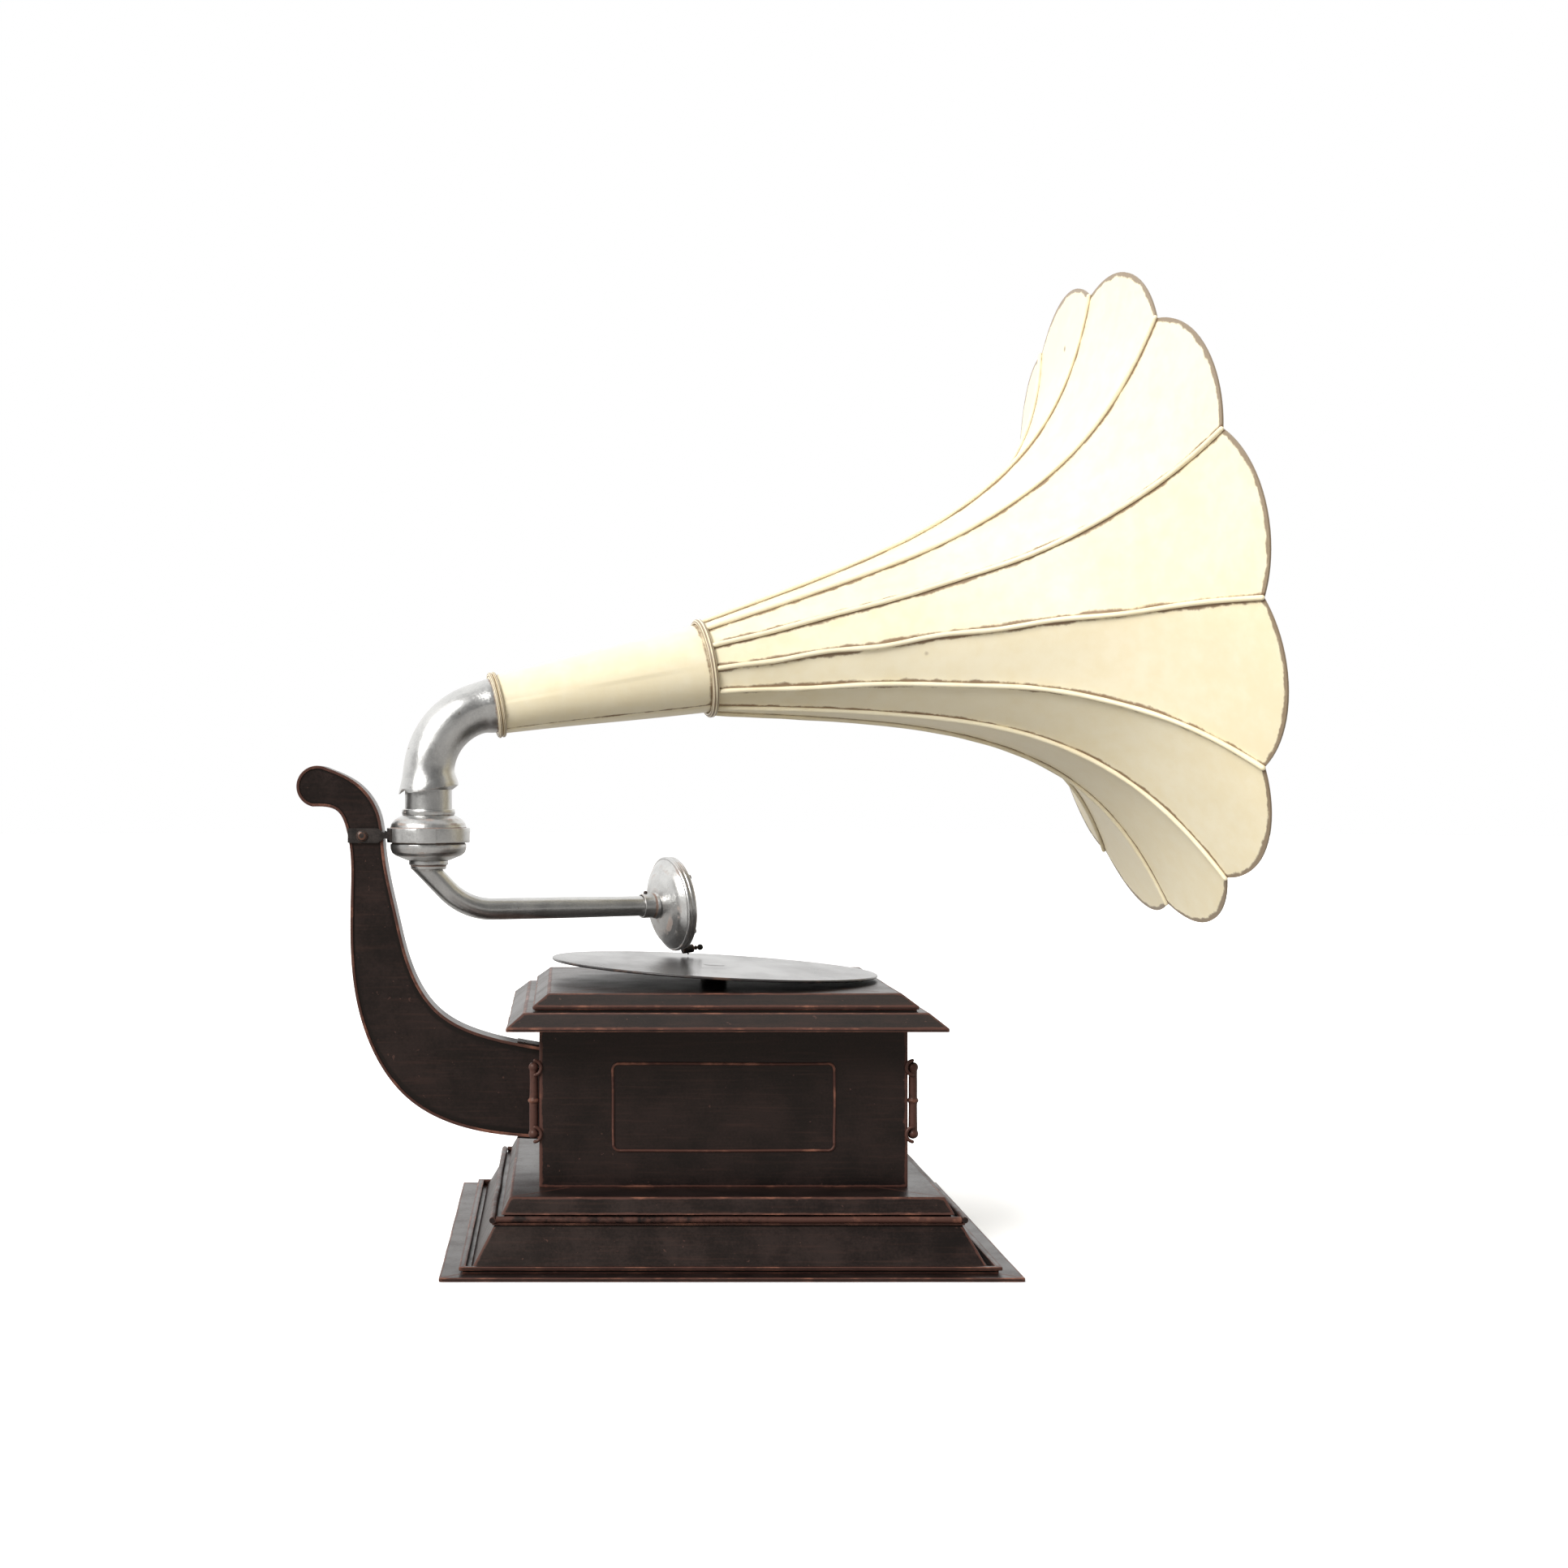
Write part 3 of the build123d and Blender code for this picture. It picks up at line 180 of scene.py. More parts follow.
def piece(name, skins, finish, body, *stands_for, sharp=38):
    """One object at the origin from several skins, in metres, with its wear and grime per vertex.

    Its finish is a material and the name of its slot.
    """
    material, slot = finish
    points, faces, wear, grime, first = [], [], [], [], 0
    for skin_points, quads, fans, skin_wear, skin_grime in skins:
        points.append(skin_points)
        faces += (quads + first).tolist() + (fans + first).tolist()
        wear.append(skin_wear)
        grime.append(skin_grime)
        first += len(skin_points)
    mesh = bpy.data.meshes.new(name)
    mesh.from_pydata((np.vstack(points) * MM).tolist(), [], faces)
    for label, values in (("wear", wear), ("grime", grime)):
        layer = mesh.attributes.new(label, "FLOAT", "POINT")
        layer.data.foreach_set("value", np.concatenate(values).astype(np.float32))
    mesh.shade_smooth()
    mesh.set_sharp_from_angle(angle=np.radians(sharp))
    mesh.materials.append(material)
    made = linked(name, mesh)
    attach(made, body)
    if stands_for:
        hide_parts(*stands_for)


def eased(profile, ease, reach=1.2, closed=True, steps=3):
    """Rows along a cornered line in which each corner C becomes a small round bend.

    With a and b the unit directions from C to its neighbours, the bend is
    C + ease (a (1 - t)^2 + b t^2), t from 0 to 1, and one more row lies at reach on each side.
    Wear is 1 on outward bends, grime is 1 in inward ones, and both are 0 at reach.
    """
    corners = np.asarray(profile, float)
    if closed:
        here, before, after = corners, np.roll(corners, 1, 0), np.roll(corners, -1, 0)
    else:
        here, before, after = corners[1:-1], corners[:-2], corners[2:]
    back_length = np.linalg.norm(before - here, axis=1, keepdims=True)
    on_length = np.linalg.norm(after - here, axis=1, keepdims=True)
    a, b = (before - here) / back_length, (after - here) / on_length
    bend = np.minimum(ease, 0.3 * np.minimum(back_length, on_length))
    far_back = np.clip(reach, bend * 1.1, np.maximum(0.45 * back_length, bend * 1.1))
    far_on = np.clip(reach, bend * 1.1, np.maximum(0.45 * on_length, bend * 1.1))
    t = np.linspace(0, 1, steps + 1)[None, :, None]
    middle = here[:, None] + bend[:, None] * (a[:, None] * (1 - t) ** 2 + b[:, None] * t**2)
    rows = np.concatenate([(here + a * far_back)[:, None], middle, (here + b * far_on)[:, None]], 1)
    x, y = corners.T
    turning = np.sign(np.sum(x * np.roll(y, -1) - np.roll(x, -1) * y))
    outward = turning * (a[:, 1] * b[:, 0] - a[:, 0] * b[:, 1]) > 0
    on_bend = np.r_[0.0, np.ones(steps + 1), 0.0]
    wear = outward[:, None] * on_bend
    grime = ~outward[:, None] * on_bend
    return rows.reshape(-1, 2), wear.reshape(-1), grime.reshape(-1)


def rolled(origin, way, profile, ease=0.25, around=72, steps=3):
    """A turned piece: a (radius, height) line carried round an axis.

    Point = origin + radius (cos q e1 + sin q e2) + height way. A line that starts and ends on the
    axis is closed there by poles, any other line is a ring that closes on itself.
    """
    origin, way = np.asarray(origin, float), unit(np.asarray(way, float))
    helper = UP if abs(way[2]) < 0.9 else np.array([1.0, 0.0, 0.0])
    e1 = unit(np.cross(helper, way))
    e2 = np.cross(way, e1)
    on_axis = profile[0][0] == 0 and profile[-1][0] == 0
    rows, wear, grime = eased(profile, ease, closed=not on_axis, steps=steps)
    q = full_turn(around)
    ring = np.cos(q)[:, None] * e1 + np.sin(q)[:, None] * e2
    grid = origin + rows[:, 0, None, None] * ring + rows[:, 1, None, None] * way
    poles = None
    if on_axis:
        poles = (origin + profile[0][1] * way, origin + profile[-1][1] * way)
    return skin(grid, wear[:, None], grime[:, None], wrap_rows=not on_axis, poles=poles)


def turned(name, origin, way, profile, finish, body, *stands_for, around=96, **shape):
    """A piece that is one turned skin."""
    piece(name, [rolled(origin, way, profile, around=around, **shape)], finish, body, *stands_for)


def square_loop(per_side=22, per_corner=4):
    """A square walk of half width 1: places on the square, and the way out at each of them.

    Along a side the place is sin(s pi / 2), s from -1 to 1, so the points gather at the corners.
    """
    s = np.sin(np.linspace(-1, 1, per_side) * np.pi / 2)
    side = np.stack([s, -np.ones(per_side)], -1)
    out = np.broadcast_to([0.0, -1.0], (per_side, 2))
    turn = -np.pi / 2 + np.linspace(0, np.pi / 2, per_corner + 1)[1:-1]
    corner = np.broadcast_to([1.0, -1.0], (per_corner - 1, 2))
    corner_out = np.stack([np.cos(turn), np.sin(turn)], -1)
    place, way_out = np.vstack([side, corner]), np.vstack([out, corner_out])
    quarter = [
        np.array([[np.cos(k), np.sin(k)], [-np.sin(k), np.cos(k)]]) for k in np.arange(4) * np.pi / 2
    ]
    return (
        np.vstack([place @ q for q in quarter]),
        np.vstack([way_out @ q for q in quarter]),
    )


def mitred(
    profile, aspect=(1.0, 1.0), ease=0.25, corner=PLINTH_CORNER, closed=False, seed=0, unevenness=0.1
):
    """A square moulding: a (half width, height) line carried round a square with mitred corners.

    Point = (half width x aspect - corner) place + corner way_out, and the corners' own wear is
    exp(-(d / 0.8)^2) with d the distance to the nearest mitre.
    """
    rows, wear, grime = eased(profile, ease, closed=closed)
    place, way_out = square_loop()
    half = rows[:, 0, None, None] * np.asarray(aspect)
    flat = (half - corner) * place + corner * way_out
    along = (place[:, 0] - place[:, 1]) * rows[:, :1]
    sag = waves(along, seed, 24.0, unevenness) * (1 - np.abs(place).min(-1) ** 6)
    flat = flat - way_out * np.abs(sag)[..., None]
    height = np.broadcast_to(rows[:, 1, None], flat.shape[:2])
    grid = np.concatenate([flat, height[..., None]], -1)
    mitre_distance = (1 - np.abs(place).min(-1))[None] * rows[:, :1]
    mitre = hump(mitre_distance, 0.8) * 0.8
    poles = None
    if not closed:
        poles = ((0.0, 0.0, profile[0][1]), (0.0, 0.0, profile[-1][1]))
    return skin(grid, np.maximum(wear[:, None], mitre), grime[:, None], wrap_rows=closed, poles=poles)


def tube(path, radius, flat_normal=None, around=20, wear=0.0, grime=0.0, round_ends=True):
    """A round bar along a path.

    Point = path + radius (cos q side + sin q up), with side and up square to the path, and up
    nearest to flat_normal. Round ends add quarter-circle rows.
    """
    path = np.asarray(path, float)
    radius = np.broadcast_to(radius, len(path)).astype(float)
    wear = np.broadcast_to(wear, len(path)).astype(float)
    if round_ends:
        turn = np.linspace(0, np.pi / 2, 6)[:-1]
        head, tail = unit(path[0] - path[1]), unit(path[-1] - path[-2])
        head_rows = path[0] + head * radius[0] * np.cos(turn)[:, None]
        tail_rows = path[-1] + tail * radius[-1] * np.sin(turn[1:])[:, None]
        tail_rows = np.vstack([tail_rows, path[-1] + tail * radius[-1] * 0.999])
        head_radius = radius[0] * np.maximum(np.sin(turn), 0.04)
        tail_radius = radius[-1] * np.maximum(np.r_[np.cos(turn[1:]), 0.04], 0.04)
        wear = np.r_[np.full(5, wear[0]), wear, np.full(5, wear[-1])]
        path = np.vstack([head_rows, path, tail_rows])
        radius = np.r_[head_radius, radius, tail_radius]
    way = unit(np.gradient(path, axis=0))
    lead = UP if flat_normal is None else np.asarray(flat_normal, float)
    side = unit(np.cross(way, lead))
    up = np.cross(side, way)
    q = full_turn(around)[None, :, None]
    grid = path[:, None] + radius[:, None, None] * (np.cos(q) * side[:, None] + np.sin(q) * up[:, None])
    return skin(grid, wear[:, None], grime)


def smooth_line(corners, samples):
    """A natural cubic spline through the corners, measured by chord length.

    Its second derivatives m solve h0 m0 + 2 (h0 + h1) m1 + h1 m2 = 6 (slope1 - slope0), ends 0.
    """
    corners = np.asarray(corners, float)
    h = np.linalg.norm(np.diff(corners, axis=0), axis=1)
    at = np.r_[0, np.cumsum(h)]
    slope = np.diff(corners, axis=0) / h[:, None]
    count = len(corners)
    matrix = np.eye(count)
    inner = np.arange(1, count - 1)
    matrix[inner, inner] = 2 * (h[:-1] + h[1:])
    matrix[inner, inner - 1], matrix[inner, inner + 1] = h[:-1], h[1:]
    right = np.zeros_like(corners)
    right[1:-1] = 6 * np.diff(slope, axis=0)
    m = np.linalg.solve(matrix, right)
    t = np.linspace(0, at[-1], samples)
    k = np.clip(np.searchsorted(at, t, side="right") - 1, 0, count - 2)
    low, high = (t - at[k])[:, None], (at[k + 1] - t)[:, None]
    step = h[k][:, None]
    cubic = (m[k] * high**3 + m[k + 1] * low**3) / (6 * step)
    line = (corners[k] / step - m[k] * step / 6) * high
    line = line + (corners[k + 1] / step - m[k + 1] * step / 6) * low
    return cubic + line


# ---- shader tools
def add_node(tree, kind, inputs=None, **settings):
    """A node with its settings, and its sockets set or wired by name or number."""
    made = tree.nodes.new(kind)
    for label, value in settings.items():
        setattr(made, label, value)
    for socket, value in (inputs or {}).items():
        if isinstance(value, bpy.types.NodeSocket):
            tree.links.new(value, made.inputs[socket])
        else:
            made.inputs[socket].default_value = value
    return made


def plus(tree, first, second):
    """The sum of two values."""
    return add_node(tree, "ShaderNodeMath", {0: first, 1: second}, operation="ADD").outputs[0]


def times(tree, first, second, clamp=False):
    """The product of two values, held to 0..1 if clamp is set."""
    sockets = {0: first, 1: second}
    return add_node(tree, "ShaderNodeMath", sockets, operation="MULTIPLY", use_clamp=clamp).outputs[0]


def blended(tree, share, first, second):
    """A colour between two, by share."""
    mixer = add_node(tree, "ShaderNodeMix", {0: share, 6: first, 7: second}, data_type="RGBA")
    return mixer.outputs[2]


def ramped(tree, value, low, high, start=0.0, end=1.0):
    """value mapped smoothly from low..high to start..end."""
    sockets = {"Value": value, "From Min": low, "From Max": high, "To Min": start, "To Max": end}
    return add_node(tree, "ShaderNodeMapRange", sockets, interpolation_type="SMOOTHSTEP").outputs["Result"]


def noise(tree, place, scale, detail=4.0, roughness=0.55):
    """A noise value from 0 to 1 at this place."""
    sockets = {"Vector": place, "Scale": scale, "Detail": detail, "Roughness": roughness}
    return add_node(tree, "ShaderNodeTexNoise", sockets).outputs["Fac"]


FLOAT, COLOR, VECTOR = "NodeSocketFloat", "NodeSocketColor", "NodeSocketVector"


def effect(name, numbers, outputs, others=()):
    """An empty node group with a Place, numbers and others as inputs: its tree, inputs and output node."""
    tree = bpy.data.node_groups.new(name, "ShaderNodeTree")
    for label, kind in (("Place", VECTOR), *others, *((number, FLOAT) for number in numbers)):
        tree.interface.new_socket(name=label, in_out="INPUT", socket_type=kind)
    for label, kind in outputs:
        tree.interface.new_socket(name=label, in_out="OUTPUT", socket_type=kind)
    return tree, tree.nodes.new("NodeGroupInput").outputs, tree.nodes.new("NodeGroupOutput")


def make_broken_mask():
    """Where an edge or a groove shows: its strength, broken up by noise into patches.

    Mask = smoothstep(0.45, 0.75, strength x amount + (noise - 0.5) x breakup) x min(6 strength, 1).
    """
    tree, given, out = effect("broken_mask", ("Strength", "Amount", "Scale", "Breakup"), [("Mask", FLOAT)])
    patches = plus(tree, noise(tree, given["Place"], given["Scale"], 6.0, 0.65), -0.5)
    strength = times(tree, given["Strength"], given["Amount"])
    value = plus(tree, strength, times(tree, patches, given["Breakup"]))
    only_there = times(tree, given["Strength"], 6.0, clamp=True)
    tree.links.new(times(tree, ramped(tree, value, 0.45, 0.75), only_there), out.inputs["Mask"])
    return tree


def make_mottle():
    """Two colours in soft clouds with a finer grain over them, and the same clouds as a value."""
    colors, outputs = [("First", COLOR), ("Second", COLOR)], [("Color", COLOR), ("Value", FLOAT)]
    tree, given, out = effect("mottle", ("Scale", "Fine Scale"), outputs, colors)
    clouds = noise(tree, given["Place"], given["Scale"], 5.0, 0.6)
    grain = noise(tree, given["Place"], given["Fine Scale"], 3.0, 0.6)
    both = plus(tree, times(tree, clouds, 0.65), times(tree, grain, 0.35))
    value = ramped(tree, both, 0.36, 0.64)
    tree.links.new(blended(tree, value, given["First"], given["Second"]), out.inputs["Color"])
    tree.links.new(value, out.inputs["Value"])
    return tree


def make_specks():
    """Sparse small spots: noise above a high threshold."""
    tree, given, out = effect("specks", ("Scale", "Threshold"), [("Mask", FLOAT)])
    value = noise(tree, given["Place"], given["Scale"], 2.0, 0.5)
    high = plus(tree, given["Threshold"], 0.04)
    tree.links.new(ramped(tree, value, given["Threshold"], high), out.inputs["Mask"])
    return tree


def make_hand_work():
    """A height for hand-beaten sheet: broad dents and a fine orange peel of the paint."""
    tree, given, out = effect(
        "hand_work", ("Dent Scale", "Dents", "Peel Scale", "Peel"), [("Height", FLOAT)]
    )
    dents = times(tree, noise(tree, given["Place"], given["Dent Scale"], 2.0, 0.4), given["Dents"])
    peel = times(tree, noise(tree, given["Place"], given["Peel Scale"], 3.0, 0.55), given["Peel"])
    tree.links.new(plus(tree, dents, peel), out.inputs["Height"])
    return tree


def make_brush_strokes():
    """Long faint streaks: noise on a place that is squeezed along one direction."""
    tree, given, out = effect("brush_strokes", ("Scale",), [("Value", FLOAT)], [("Squeeze", VECTOR)])
    both = {0: given["Place"], 1: given["Squeeze"]}
    squeezed = add_node(tree, "ShaderNodeVectorMath", both, operation="MULTIPLY").outputs[0]
    tree.links.new(noise(tree, squeezed, given["Scale"], 4.0, 0.6), out.inputs["Value"])
    return tree


broken_mask, mottle, specks = make_broken_mask(), make_mottle(), make_specks()
hand_work, brush_strokes = make_hand_work(), make_brush_strokes()


class Paint:
    """A material in the making, with its colour so far. It reads each mesh's place, wear and grime."""

    def __init__(self, name, first, second, scale, fine_scale):
        """Starts from two colours in clouds."""
        self.name = name
        self.material = bpy.data.materials.new(name)
        self.material.use_nodes = True
        self.tree = self.material.node_tree
        self.shader = self.tree.nodes["Principled BSDF"]
        self.place = add_node(self.tree, "ShaderNodeTexCoord").outputs["Object"]
        self.wear, self.grime = self.carried("wear"), self.carried("grime")
        clouds = self.use(
            mottle, First=(*first, 1), Second=(*second, 1), Scale=scale, Fine_Scale=fine_scale
        )
        self.color, self.clouds = clouds["Color"], clouds["Value"]

    def carried(self, label):
        """A value that the mesh carries at its vertices."""
        return add_node(self.tree, "ShaderNodeAttribute", attribute_name=label).outputs["Fac"]

    def use(self, group, **inputs):
        """The outputs of a node group placed here, its sockets named with _ for a space."""
        sockets = {
            "Place": self.place, **{label.replace("_", " "): value for label, value in inputs.items()}
        }
        return add_node(self.tree, "ShaderNodeGroup", sockets, node_tree=group).outputs

    def broken(self, strength, amount, scale, breakup):
        """Where wear or grime of this strength shows."""
        return self.use(broken_mask, Strength=strength, Amount=amount, Scale=scale, Breakup=breakup)["Mask"]

    def spots(self, scale, threshold):
        """Sparse specks."""
        return self.use(specks, Scale=scale, Threshold=threshold)["Mask"]

    def strokes(self, squeeze, scale):
        """Faint streaks."""
        return self.use(brush_strokes, Squeeze=squeeze, Scale=scale)["Value"]

    def lay(self, mask, share, color):
        """Lays a colour over the colour so far, by this share of the mask."""
        self.color = blended(self.tree, times(self.tree, mask, share), self.color, (*color, 1))

    def vary(self, socket, values, low, high, start, end):
        """Lets a shader socket follow the sum of two values, low..high becoming start..end."""
        total = plus(self.tree, *values)
        self.tree.links.new(ramped(self.tree, total, low, high, start, end), self.shader.inputs[socket])

    def hold(self, **sockets):
        """Sets shader sockets, named with _ for a space."""
        for label, value in sockets.items():
            self.shader.inputs[label.replace("_", " ")].default_value = value

    def emboss(self, height, distance):
        """Joins a height to the shader's normal."""
        bump = add_node(self.tree, "ShaderNodeBump", {"Height": height, "Distance": distance})
        self.tree.links.new(bump.outputs["Normal"], self.shader.inputs["Normal"])

    def beaten(self, distance, dent_scale, dents, peel_scale, peel):
        """Gives the surface its dents and orange peel."""
        work = self.use(hand_work, Dent_Scale=dent_scale, Dents=dents, Peel_Scale=peel_scale, Peel=peel)
        self.emboss(work["Height"], distance)

    def finish(self):
        """Joins the colour, and gives the material with the name of its slot."""
        self.tree.links.new(self.color, self.shader.inputs["Base Color"])
        return self.material, self.name


def brown_black_lacquer():
    """Dark lacquer: brown and black clouds, copper on rubbed edges, near-black in the grooves."""
    paint = Paint("brown_black_lacquer", (0.0038, 0.003, 0.0032), (0.015, 0.0092, 0.0086), 70.0, 1300.0)
    streaks = ramped(paint.tree, paint.strokes(squeeze=(0.05, 1.0, 1.0), scale=900.0), 0.48, 0.75)
    rubbed = paint.broken(paint.wear, amount=1.15, scale=260.0, breakup=1.3)
    bright = paint.broken(paint.wear, amount=0.5, scale=110.0, breakup=1.5)
    groove_black = paint.broken(paint.grime, amount=1.2, scale=120.0, breakup=0.7)
    paint.lay(streaks, 0.25, (0.055, 0.026, 0.02))
    paint.lay(paint.spots(scale=520.0, threshold=0.71), 0.45, (0.1, 0.05, 0.04))
    paint.lay(rubbed, 0.72, (0.088, 0.036, 0.027))
    paint.lay(bright, 0.6, (0.3, 0.125, 0.08))
    # Near-black laid in grooves and inward bends, at the foot of the panel wires and along the arm webs'
    # edges.
    paint.lay(groove_black, 1.0, (0.003, 0.0025, 0.0025))
    paint.vary("Roughness", (paint.clouds, rubbed), 0.0, 2.0, 0.36, 0.56)
    paint.hold(
        Specular_IOR_Level=0.3, Specular_Tint=(1.0, 0.8, 0.7, 1), Coat_Weight=0.08, Coat_Roughness=0.2
    )
    paint.beaten(0.00035, dent_scale=38.0, dents=1.0, peel_scale=900.0, peel=0.04)
    return paint.finish()


def cream_enamel():
    """Cream paint on tin: warm clouds, brown antiquing along seams, ribs and rims, a few dark specks."""
    paint = Paint("cream_enamel", (0.88, 0.775, 0.53), (0.92, 0.84, 0.63), 14.0, 160.0)
    halo = paint.broken(paint.grime, amount=0.75, scale=60.0, breakup=1.2)
    line = paint.broken(paint.grime, amount=0.9, scale=150.0, breakup=1.1)
    rim = paint.broken(paint.wear, amount=0.95, scale=200.0, breakup=1.2)
    paint.lay(halo, 0.3, (0.62, 0.44, 0.22))
    paint.lay(line, 0.85, (0.17, 0.085, 0.035))
    paint.lay(rim, 0.8, (0.13, 0.068, 0.035))
    paint.lay(paint.spots(scale=75.0, threshold=0.75), 0.8, (0.2, 0.11, 0.04))
    paint.vary("Roughness", (paint.clouds, line), 0.0, 2.0, 0.34, 0.6)
    paint.beaten(0.0012, dent_scale=24.0, dents=1.0, peel_scale=500.0, peel=0.03)
    return paint.finish()


def silver_paint():
    """Aluminium paint: satin metal with cloudy dull patches, and rust in joints and along rims."""
    paint = Paint("silver_paint", (0.47, 0.47, 0.465), (0.6, 0.6, 0.59), 90.0, 1500.0)
    rust = paint.broken(paint.grime, amount=0.85, scale=200.0, breakup=1.3)
    rubbed = paint.broken(paint.wear, amount=0.5, scale=160.0, breakup=1.5)
    paint.lay(rubbed, 0.6, (0.26, 0.15, 0.1))
    paint.lay(rust, 0.8, (0.16, 0.07, 0.035))
    paint.lay(paint.spots(scale=330.0, threshold=0.73), 0.45, (0.18, 0.13, 0.1))
    paint.vary("Roughness", (paint.clouds, rust), 0.0, 2.0, 0.3, 0.5)
    paint.vary("Metallic", (rust, rubbed), 0.0, 1.0, 0.95, 0.2)
    paint.beaten(0.0004, dent_scale=120.0, dents=0.5, peel_scale=1400.0, peel=0.12)
    return paint.finish()


def record_black():
    """A smooth disc in dark gloss with faint hairlines, rubbed brown at its rim."""
    paint = Paint("record_black", (0.018, 0.016, 0.017), (0.03, 0.027, 0.027), 22.0, 90.0)
    rubbed = paint.broken(paint.wear, amount=0.5, scale=120.0, breakup=1.4)
    paint.lay(rubbed, 0.7, (0.16, 0.09, 0.06))
    hairs = paint.strokes(squeeze=(0.3, 0.1, 1.0), scale=160.0)
    paint.vary("Roughness", (hairs, 0.0), 0.3, 0.75, 0.2, 0.28)
    paint.beaten(0.0012, dent_scale=14.0, dents=0.5, peel_scale=300.0, peel=0.004)
    return paint.finish()


def dark_steel():
    """Blackened steel for screws and straps, brown at its edges."""
    paint = Paint("dark_steel", (0.02, 0.017, 0.016), (0.05, 0.04, 0.036), 200.0, 1800.0)
    rubbed = paint.broken(paint.wear, amount=0.7, scale=300.0, breakup=1.4)
    paint.lay(rubbed, 0.7, (0.17, 0.075, 0.045))
    paint.vary("Roughness", (paint.clouds, 0.0), 0.0, 1.0, 0.32, 0.5)
    paint.hold(Metallic=0.5)
    paint.beaten(0.0003, dent_scale=300.0, dents=0.4, peel_scale=2000.0, peel=0.1)
    return paint.finish()


def bright_steel():
    """Plain steel with a slight stain."""
    paint = Paint("bright_steel", (0.3, 0.28, 0.27), (0.55, 0.54, 0.53), 250.0, 2500.0)
    paint.vary("Roughness", (paint.clouds, 0.0), 0.0, 1.0, 0.25, 0.42)
    paint.hold(Metallic=1.0)
    return paint.finish()


def diaphragm_foil():
    """Dull grey foil with a fine brushed grain."""
    paint = Paint("diaphragm_foil", (0.26, 0.26, 0.27), (0.42, 0.42, 0.43), 160.0, 1600.0)
    brushed = paint.strokes(squeeze=(1.0, 1.0, 0.05), scale=2600.0)
    paint.vary("Roughness", (brushed, 0.0), 0.3, 0.7, 0.34, 0.52)
    paint.hold(Metallic=0.8)
    paint.emboss(brushed, 0.0001)
    return paint.finish()


lacquer, enamel, silver = brown_black_lacquer(), cream_enamel(), silver_paint()
record_gloss, blackened, steel, foil = record_black(), dark_steel(), bright_steel(), diaphragm_foil()


# ---- plinth and cabinet
def moulding(name, profile, *stands_for, **shape):
    """A piece of the cabinet that is one square moulding, in lacquer."""
    piece(name, [mitred(profile, **shape)], lacquer, "cabinet", *stands_for)


def plinth():
    """Base flange, folded hem, sloping skirt with its ledge, edge rods, and the upper skirt."""
    flange = [(0, 0.0), (PLINTH_HALF, 0.0), (PLINTH_HALF, 1.2), (0, 1.2)]
    moulding("base_flange", flange, "base_plate", seed=1, unevenness=0.16)
    hem = [(82.3, 1.2), (83.4, 1.2), (83.4, 2.3), (84.4, 2.3), (84.4, 3.4), (82.3, 3.4)]
    moulding("hem_bead", hem, "plinth_hem", closed=True, seed=2)
    skirt = [
        (81.1, 1.2), (73.6, 14.6), (74.4, 14.6), (74.4, LEDGE_Z), (64.9, LEDGE_Z), (64.9, 14.6),
        (72.8, 14.6), (80.3, 1.2),
    ]
    moulding("lower_skirt", skirt, "plinth_lower_skirt", closed=True, seed=3)
    upper = [(0, LEDGE_Z), (70.6, LEDGE_Z), (70.6, 17.3), (71.6, 17.3), (68.9, PLINTH_TOP), (0, PLINTH_TOP)]
    moulding("upper_skirt", upper, "plinth_upper_skirt", seed=4)
    along = np.linspace(-1, 1, 60)
    rods = []
    for side in (-1, 1):
        for crosswise, reach in ((False, 75.25), (True, 73.1)):
            across = side * 74.2 + waves(along * 70, 7 + side + 2 * crosswise, 16.0, 0.12)
            height = 16.25 + waves(along * 70, 17 + side + 2 * crosswise, 20.0, 0.1)
            flat = (along * reach, across) if crosswise else (across, along * reach)
            path = np.stack([*flat, height], -1)
            copper = 0.55 + 0.45 * np.clip(along * crosswise, 0, 1)
            rods.append(tube(path, 1.03, around=14, wear=copper, round_ends=False))
    piece("edge_rods", rods, lacquer, "cabinet", "plinth_edge_rods")


def cabinet():
    """The box, and the raised wire rectangle on its front and back."""
    box = [(0, PLINTH_TOP), (BOX_HALF_X, PLINTH_TOP), (BOX_HALF_X, BOX_TOP), (0, BOX_TOP)]
    moulding(
        "cabinet_box", box, "front_wall", "back_wall", "left_wall", "right_wall",
        aspect=(1, BOX_HALF_Y / BOX_HALF_X), corner=0.6, seed=5, unevenness=0.05,
    )
    beads = []
    for face, seed in ((-1, 11), (1, 12)):
        place, way_out = square_loop(40, 8)
        flat = place * (PANEL_HALF - PANEL_ROUNDING) + way_out * PANEL_ROUNDING
        round_walk = np.arange(len(flat)) * 1.0
        flat = flat + way_out * waves(round_walk, seed, 9.0, 0.12)[:, None]
        proud = 0.5 + np.abs(waves(round_walk, seed + 2, 2.5, 0.14))
        path = places(flat[:, 0], face * BOX_HALF_Y, PANEL_Z + flat[:, 1])
        q = full_turn(12)
        outward = places(way_out[:, 0], 0, way_out[:, 1])
        across = 0.5 * np.cos(q)[None, :, None] * outward[:, None]
        lift = proud[:, None, None] * np.clip(np.sin(q), -0.1, 1)[None, :, None] * face * TO_BACK
        # The bead's proud half takes full wear: worn copper, which also serves as a painted highlight along
        # the bead.
        crest_wear_and_highlight = np.clip(np.sin(q) * 1.6, 0, 1)[None]
        foot = np.where(np.sin(q) < 0.1, 0.7, 0.0)[None]
        beads.append(skin(path[:, None] + across + lift, wear=crest_wear_and_highlight, grime=foot, wrap_rows=True))
    piece("panel_wires", beads, lacquer, "cabinet", "panel_beads")


